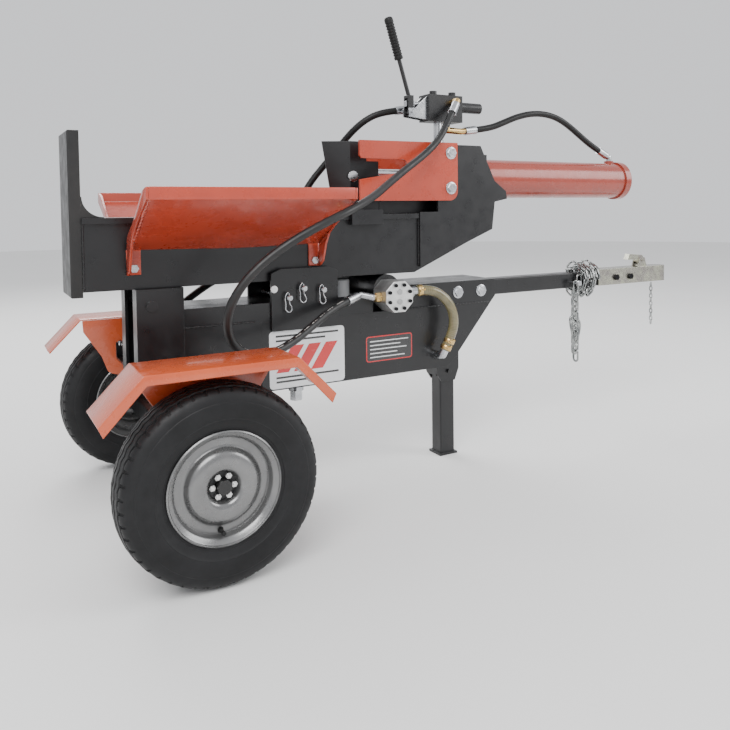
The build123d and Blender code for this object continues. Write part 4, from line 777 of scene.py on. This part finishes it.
# ---- Quick-release pins and their clips -------------------------------------------------------
pin_parts = []
clip_parts = []
for x, z in ((323, 544), (378, 537), (283, 522)):
    pin = spun("release_pin", [at(x, y, z + r) for y, r in
                               ((-115, 0), (-115, 5.6), (-112.6, 7.9), (-94, 7.9), (94, 7.9),
                                (94, 12.6), (95, 13), (99, 13), (100, 12), (100, 0))],
               at(x, 0, z), (0, 1, 0), 28)
    finished(pin, bright_zinc, None, smooth=35)
    pin_parts.append(pin)
    clip = wire("spring_clip", [at(x + dx, y, z + dz) for dx, dz, y in
                                ((-2, 14, -104), (-7, 12, -104), (-10.5, 4, -104), (-10.5, -6, -104),
                                 (-9, -16, -104.5), (-10.5, -25, -105), (-9, -33, -105.5), (-3, -37, -106),
                                 (4, -35, -106), (7, -28, -106), (4, -21, -106), (0, -14, -105),
                                 (0, 8, -104.4), (0, 12, -104.2))], 0.0016)
    finished(clip, bright_zinc, None, smooth=50)
    clip_parts.append(clip)
pins = joined("release_pins", pin_parts)
finished(pins, bright_zinc, "root", smooth=35)
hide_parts("saddle_pins")
clips = joined("spring_clips", clip_parts)
finished(clips, bright_zinc, "root", smooth=50)

# ---- Chains -----------------------------------------------------------------------------------
def chain_link(length, width, thick):
    """One welded link lying in XZ about the origin, its long way up."""
    reach, half = (width - thick) / 2000, (length - width) / 2000
    ring = [(reach * cos(radians(first + step)), 0, end * half + reach * sin(radians(first + step)))
            for end, first in ((1, 0), (-1, 180)) for step in range(0, 181, 30)]
    return wire("chain_link", ring, thick / 2000, closed=True)


pattern = chain_link(46, 27, 6.6)
chain_y = 45.5
chain_top = 479.8
chain_pitch = 33
for label, side, place in (("near", -1, 1325), ("far", 1, 1405)):
    links = []
    for n in range(8):
        middle = at(place, side * chain_y, chain_top - n * chain_pitch)
        turn = Matrix.Translation(middle) @ Matrix.Rotation(pi / 2 * (n % 2), 4, "Z")
        links.append(copied(pattern, turn))
    eye = chain_top - 4.6 * chain_pitch
    pear = ((0, 42), (13, 40), (20, 28), (20, 12), (14, -8), (10, -26), (9, -42), (0, -50),
            (-9, -42), (-10, -26), (-14, -8), (-20, 12), (-20, 28), (-13, 40))
    for shift, thick in ((0, 3.5), (1, 2.4)):
        ring = [(dx * (1 - 0.32 * shift), dz * (1 - 0.3 * shift) + 4 * shift) for dx, dz in pear]
        hook = wire("slip_hook", [at(place + dx, side * (chain_y + 3 * shift), eye + dz) for dx, dz in ring],
                    thick / 1000, closed=True)
        links.append(hook)
    gate = wire("hook_gate", [at(place + dx, side * chain_y, eye + dz) for dx, dz in
                              ((-13, -8), (-4, -12), (5, -12), (13, -8))], 0.0026)
    links.append(gate)
    chain = joined("linked_chain_" + label, links)
    finished(chain, chain_zinc, "chain_" + label, smooth=50)
    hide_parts("safety_chain_" + label)

# The chain wound round the tongue: two layers that follow its square outline, left out where they end.
wrapped = []
inner_links = 30
tongue_middle = 499
angle = 0.6
for n in range(52):
    layer = 0 if n < inner_links else 1
    reach = 34 + 15 * layer + 2.5 * sin(n * 1.7)
    angle += chain_pitch / (reach + 4)
    square = max(abs(cos(angle)), abs(sin(angle)))
    reach = reach / square ** 0.5
    place = 1350 + 2.7 * n if n < inner_links else 1362 + 3.2 * (n - inner_links)
    place += 4 * sin(n * 2.3)
    if 1390 < place and cos(angle) > 0.25 or place < 1349:
        continue
    middle = at(place, reach * cos(angle), tongue_middle + reach * sin(angle))
    own = Matrix.Rotation(pi / 2 * (n % 2) + 0.4 * sin(n * 3.1), 4, "Z")
    wrapped.append(copied(pattern, Matrix.Translation(middle) @ Matrix.Rotation(angle, 4, "X") @ own))
bundle = joined("wrapped_chain", wrapped)
finished(bundle, chain_zinc, "root", smooth=50)
small = chain_link(20, 13, 3.4)
pin_chain = [copied(small, Matrix.Translation(at(1700, -37, 462 - n * 13.4)) @
                    Matrix.Rotation(pi / 2 * (n % 2) + 0.3, 4, "Z")) for n in range(11)]
hanger = joined("pin_chain", pin_chain)
finished(hanger, chain_zinc, "root", smooth=50)
for spare in (pattern, small):
    bpy.data.objects.remove(spare, do_unlink=True)

# ---- Washers, nuts and clamps ------------------------------------------------------------------
def disc(name, middle, axis, outline, made, steps=40):
    """A turned piece about an axis, from (along the axis, radius) in millimetres."""
    axis = Vector(axis).normalized()
    out = axis.orthogonal().normalized()
    piece = spun(name, [middle + axis * a / 1000 + out * r / 1000 for a, r in outline], middle, axis, steps)
    return finished(piece, made, None, smooth=35)


washer = [(0, 9), (0, 17), (0.6, 18), (1.8, 18), (2.4, 17), (2.4, 9)]
rings = []
for side in (-1, 1):
    for x in (819, 903):
        rings.append(disc("washer", at(x, side * 85.1, 499), (0, side, 0), washer, bright_zinc))
    for z in (804, 905):
        rings.append(disc("washer", at(792, side * 93.1, z), (0, side, 0), washer, bright_zinc))
washers = joined("round_washers", rings)
finished(washers, bright_zinc, "root", smooth=35)

plug_path = [(0, 0), (0, 7.2), (1.0, 7.6), (1.8, 7.0), (2.2, 0)]
spots = [disc("pump_plug", at(583, -150, z), (0, -1, 0), plug_path, cast_alloy, 28) for z in (521, 495)]
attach(joined("pump_plugs", spots), "root")

clamp_path = [(-6, 14.3), (-6, 15.6), (-5, 16.2), (5, 16.2), (6, 15.6), (6, 14.3)]
screw_path = [(-8, 0), (-8, 3), (-6, 3.6), (-5, 2.4), (6, 2.4), (6, 3.4), (8, 3.4), (8, 0)]
clamps = []
for middle, axis in ((at(664, -121.5, 518.2), (40, -6, 1)), (at(745, -130, 350.5), (19, -5, 38)),
                     (at(754, -132.4, 368), (17, -4, 38))):
    clamps.append(disc("hose_clamp", middle, axis, clamp_path, brass, 36))
    clamps.append(disc("clamp_screw", middle + Vector((0, -0.0165, 0.002)), (1, 0, 0.2),
                       screw_path, brass, 12))
nut_path = [(-9, 0), (-9, 12.2), (-7.6, 13.6), (7.6, 13.6), (9, 12.2), (9, 0)]
clamps.append(disc("pump_nut", at(532, -118, 507), (1, 0, 0), nut_path, brass, 6))
fittings = joined("clamps_and_nut", clamps)
finished(fittings, brass, "root", smooth=35)

cap = disc("post_plug", at(247, -93.1, 545), (0, -1, 0), [(0, 0), (0, 9.5), (2.2, 9.2), (3.4, 7), (4, 0)],
           decal_white, 32)
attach(cap, "root")

# ---- Weld beads -------------------------------------------------------------------------------
ripple = 0.0006
beads = []
for start, end in (((-195, -76, 568), (-195, -76, 728)), ((-195, 76, 568), (-195, 76, 728)),
                   ((690, -76, 584), (690, -76, 730)), ((640, -85.6, 464), (930, -85.6, 464)),
                   ((645, -26, 474), (668, -26, 474)), ((-20, -86, 466), (200, -86, 466)),
                   ((-20, 86, 466), (200, 86, 466)), ((-25, -59, 262), (-25, -59, 284))):
    low, high = at(*start), at(*end)
    count = max(8, int((high - low).length / 0.0035))
    line = [low.lerp(high, n / count) + ripple * Vector((sin(n * 2.2), cos(n * 2.0), sin(n * 1.3)))
            for n in range(count + 1)]
    bead = wire("weld", line, 0.0024)
    finished(bead, frame_black, None, smooth=50)
    beads.append(bead)
welds = joined("weld_beads", beads)
finished(welds, frame_black, "root", smooth=50)

# ---- Floor ------------------------------------------------------------------------------------
bpy.ops.object.select_all(action="DESELECT")
bpy.ops.mesh.primitive_circle_add(vertices=96, radius=14, fill_type="NGON", location=(0, 0, -0.0005))
floor = settled("floor")
floor_paint, tree, shader, place = blank("floor_paint")
tree.links.new(mixed(tree, noise(tree, place, 1.2), (0.80, 0.80, 0.79), (0.84, 0.84, 0.83)),
               shader.inputs["Base Color"])
shader.inputs["Roughness"].default_value = 0.75
floor.data.materials.append(floor_paint)

bpy.context.view_layer.update()
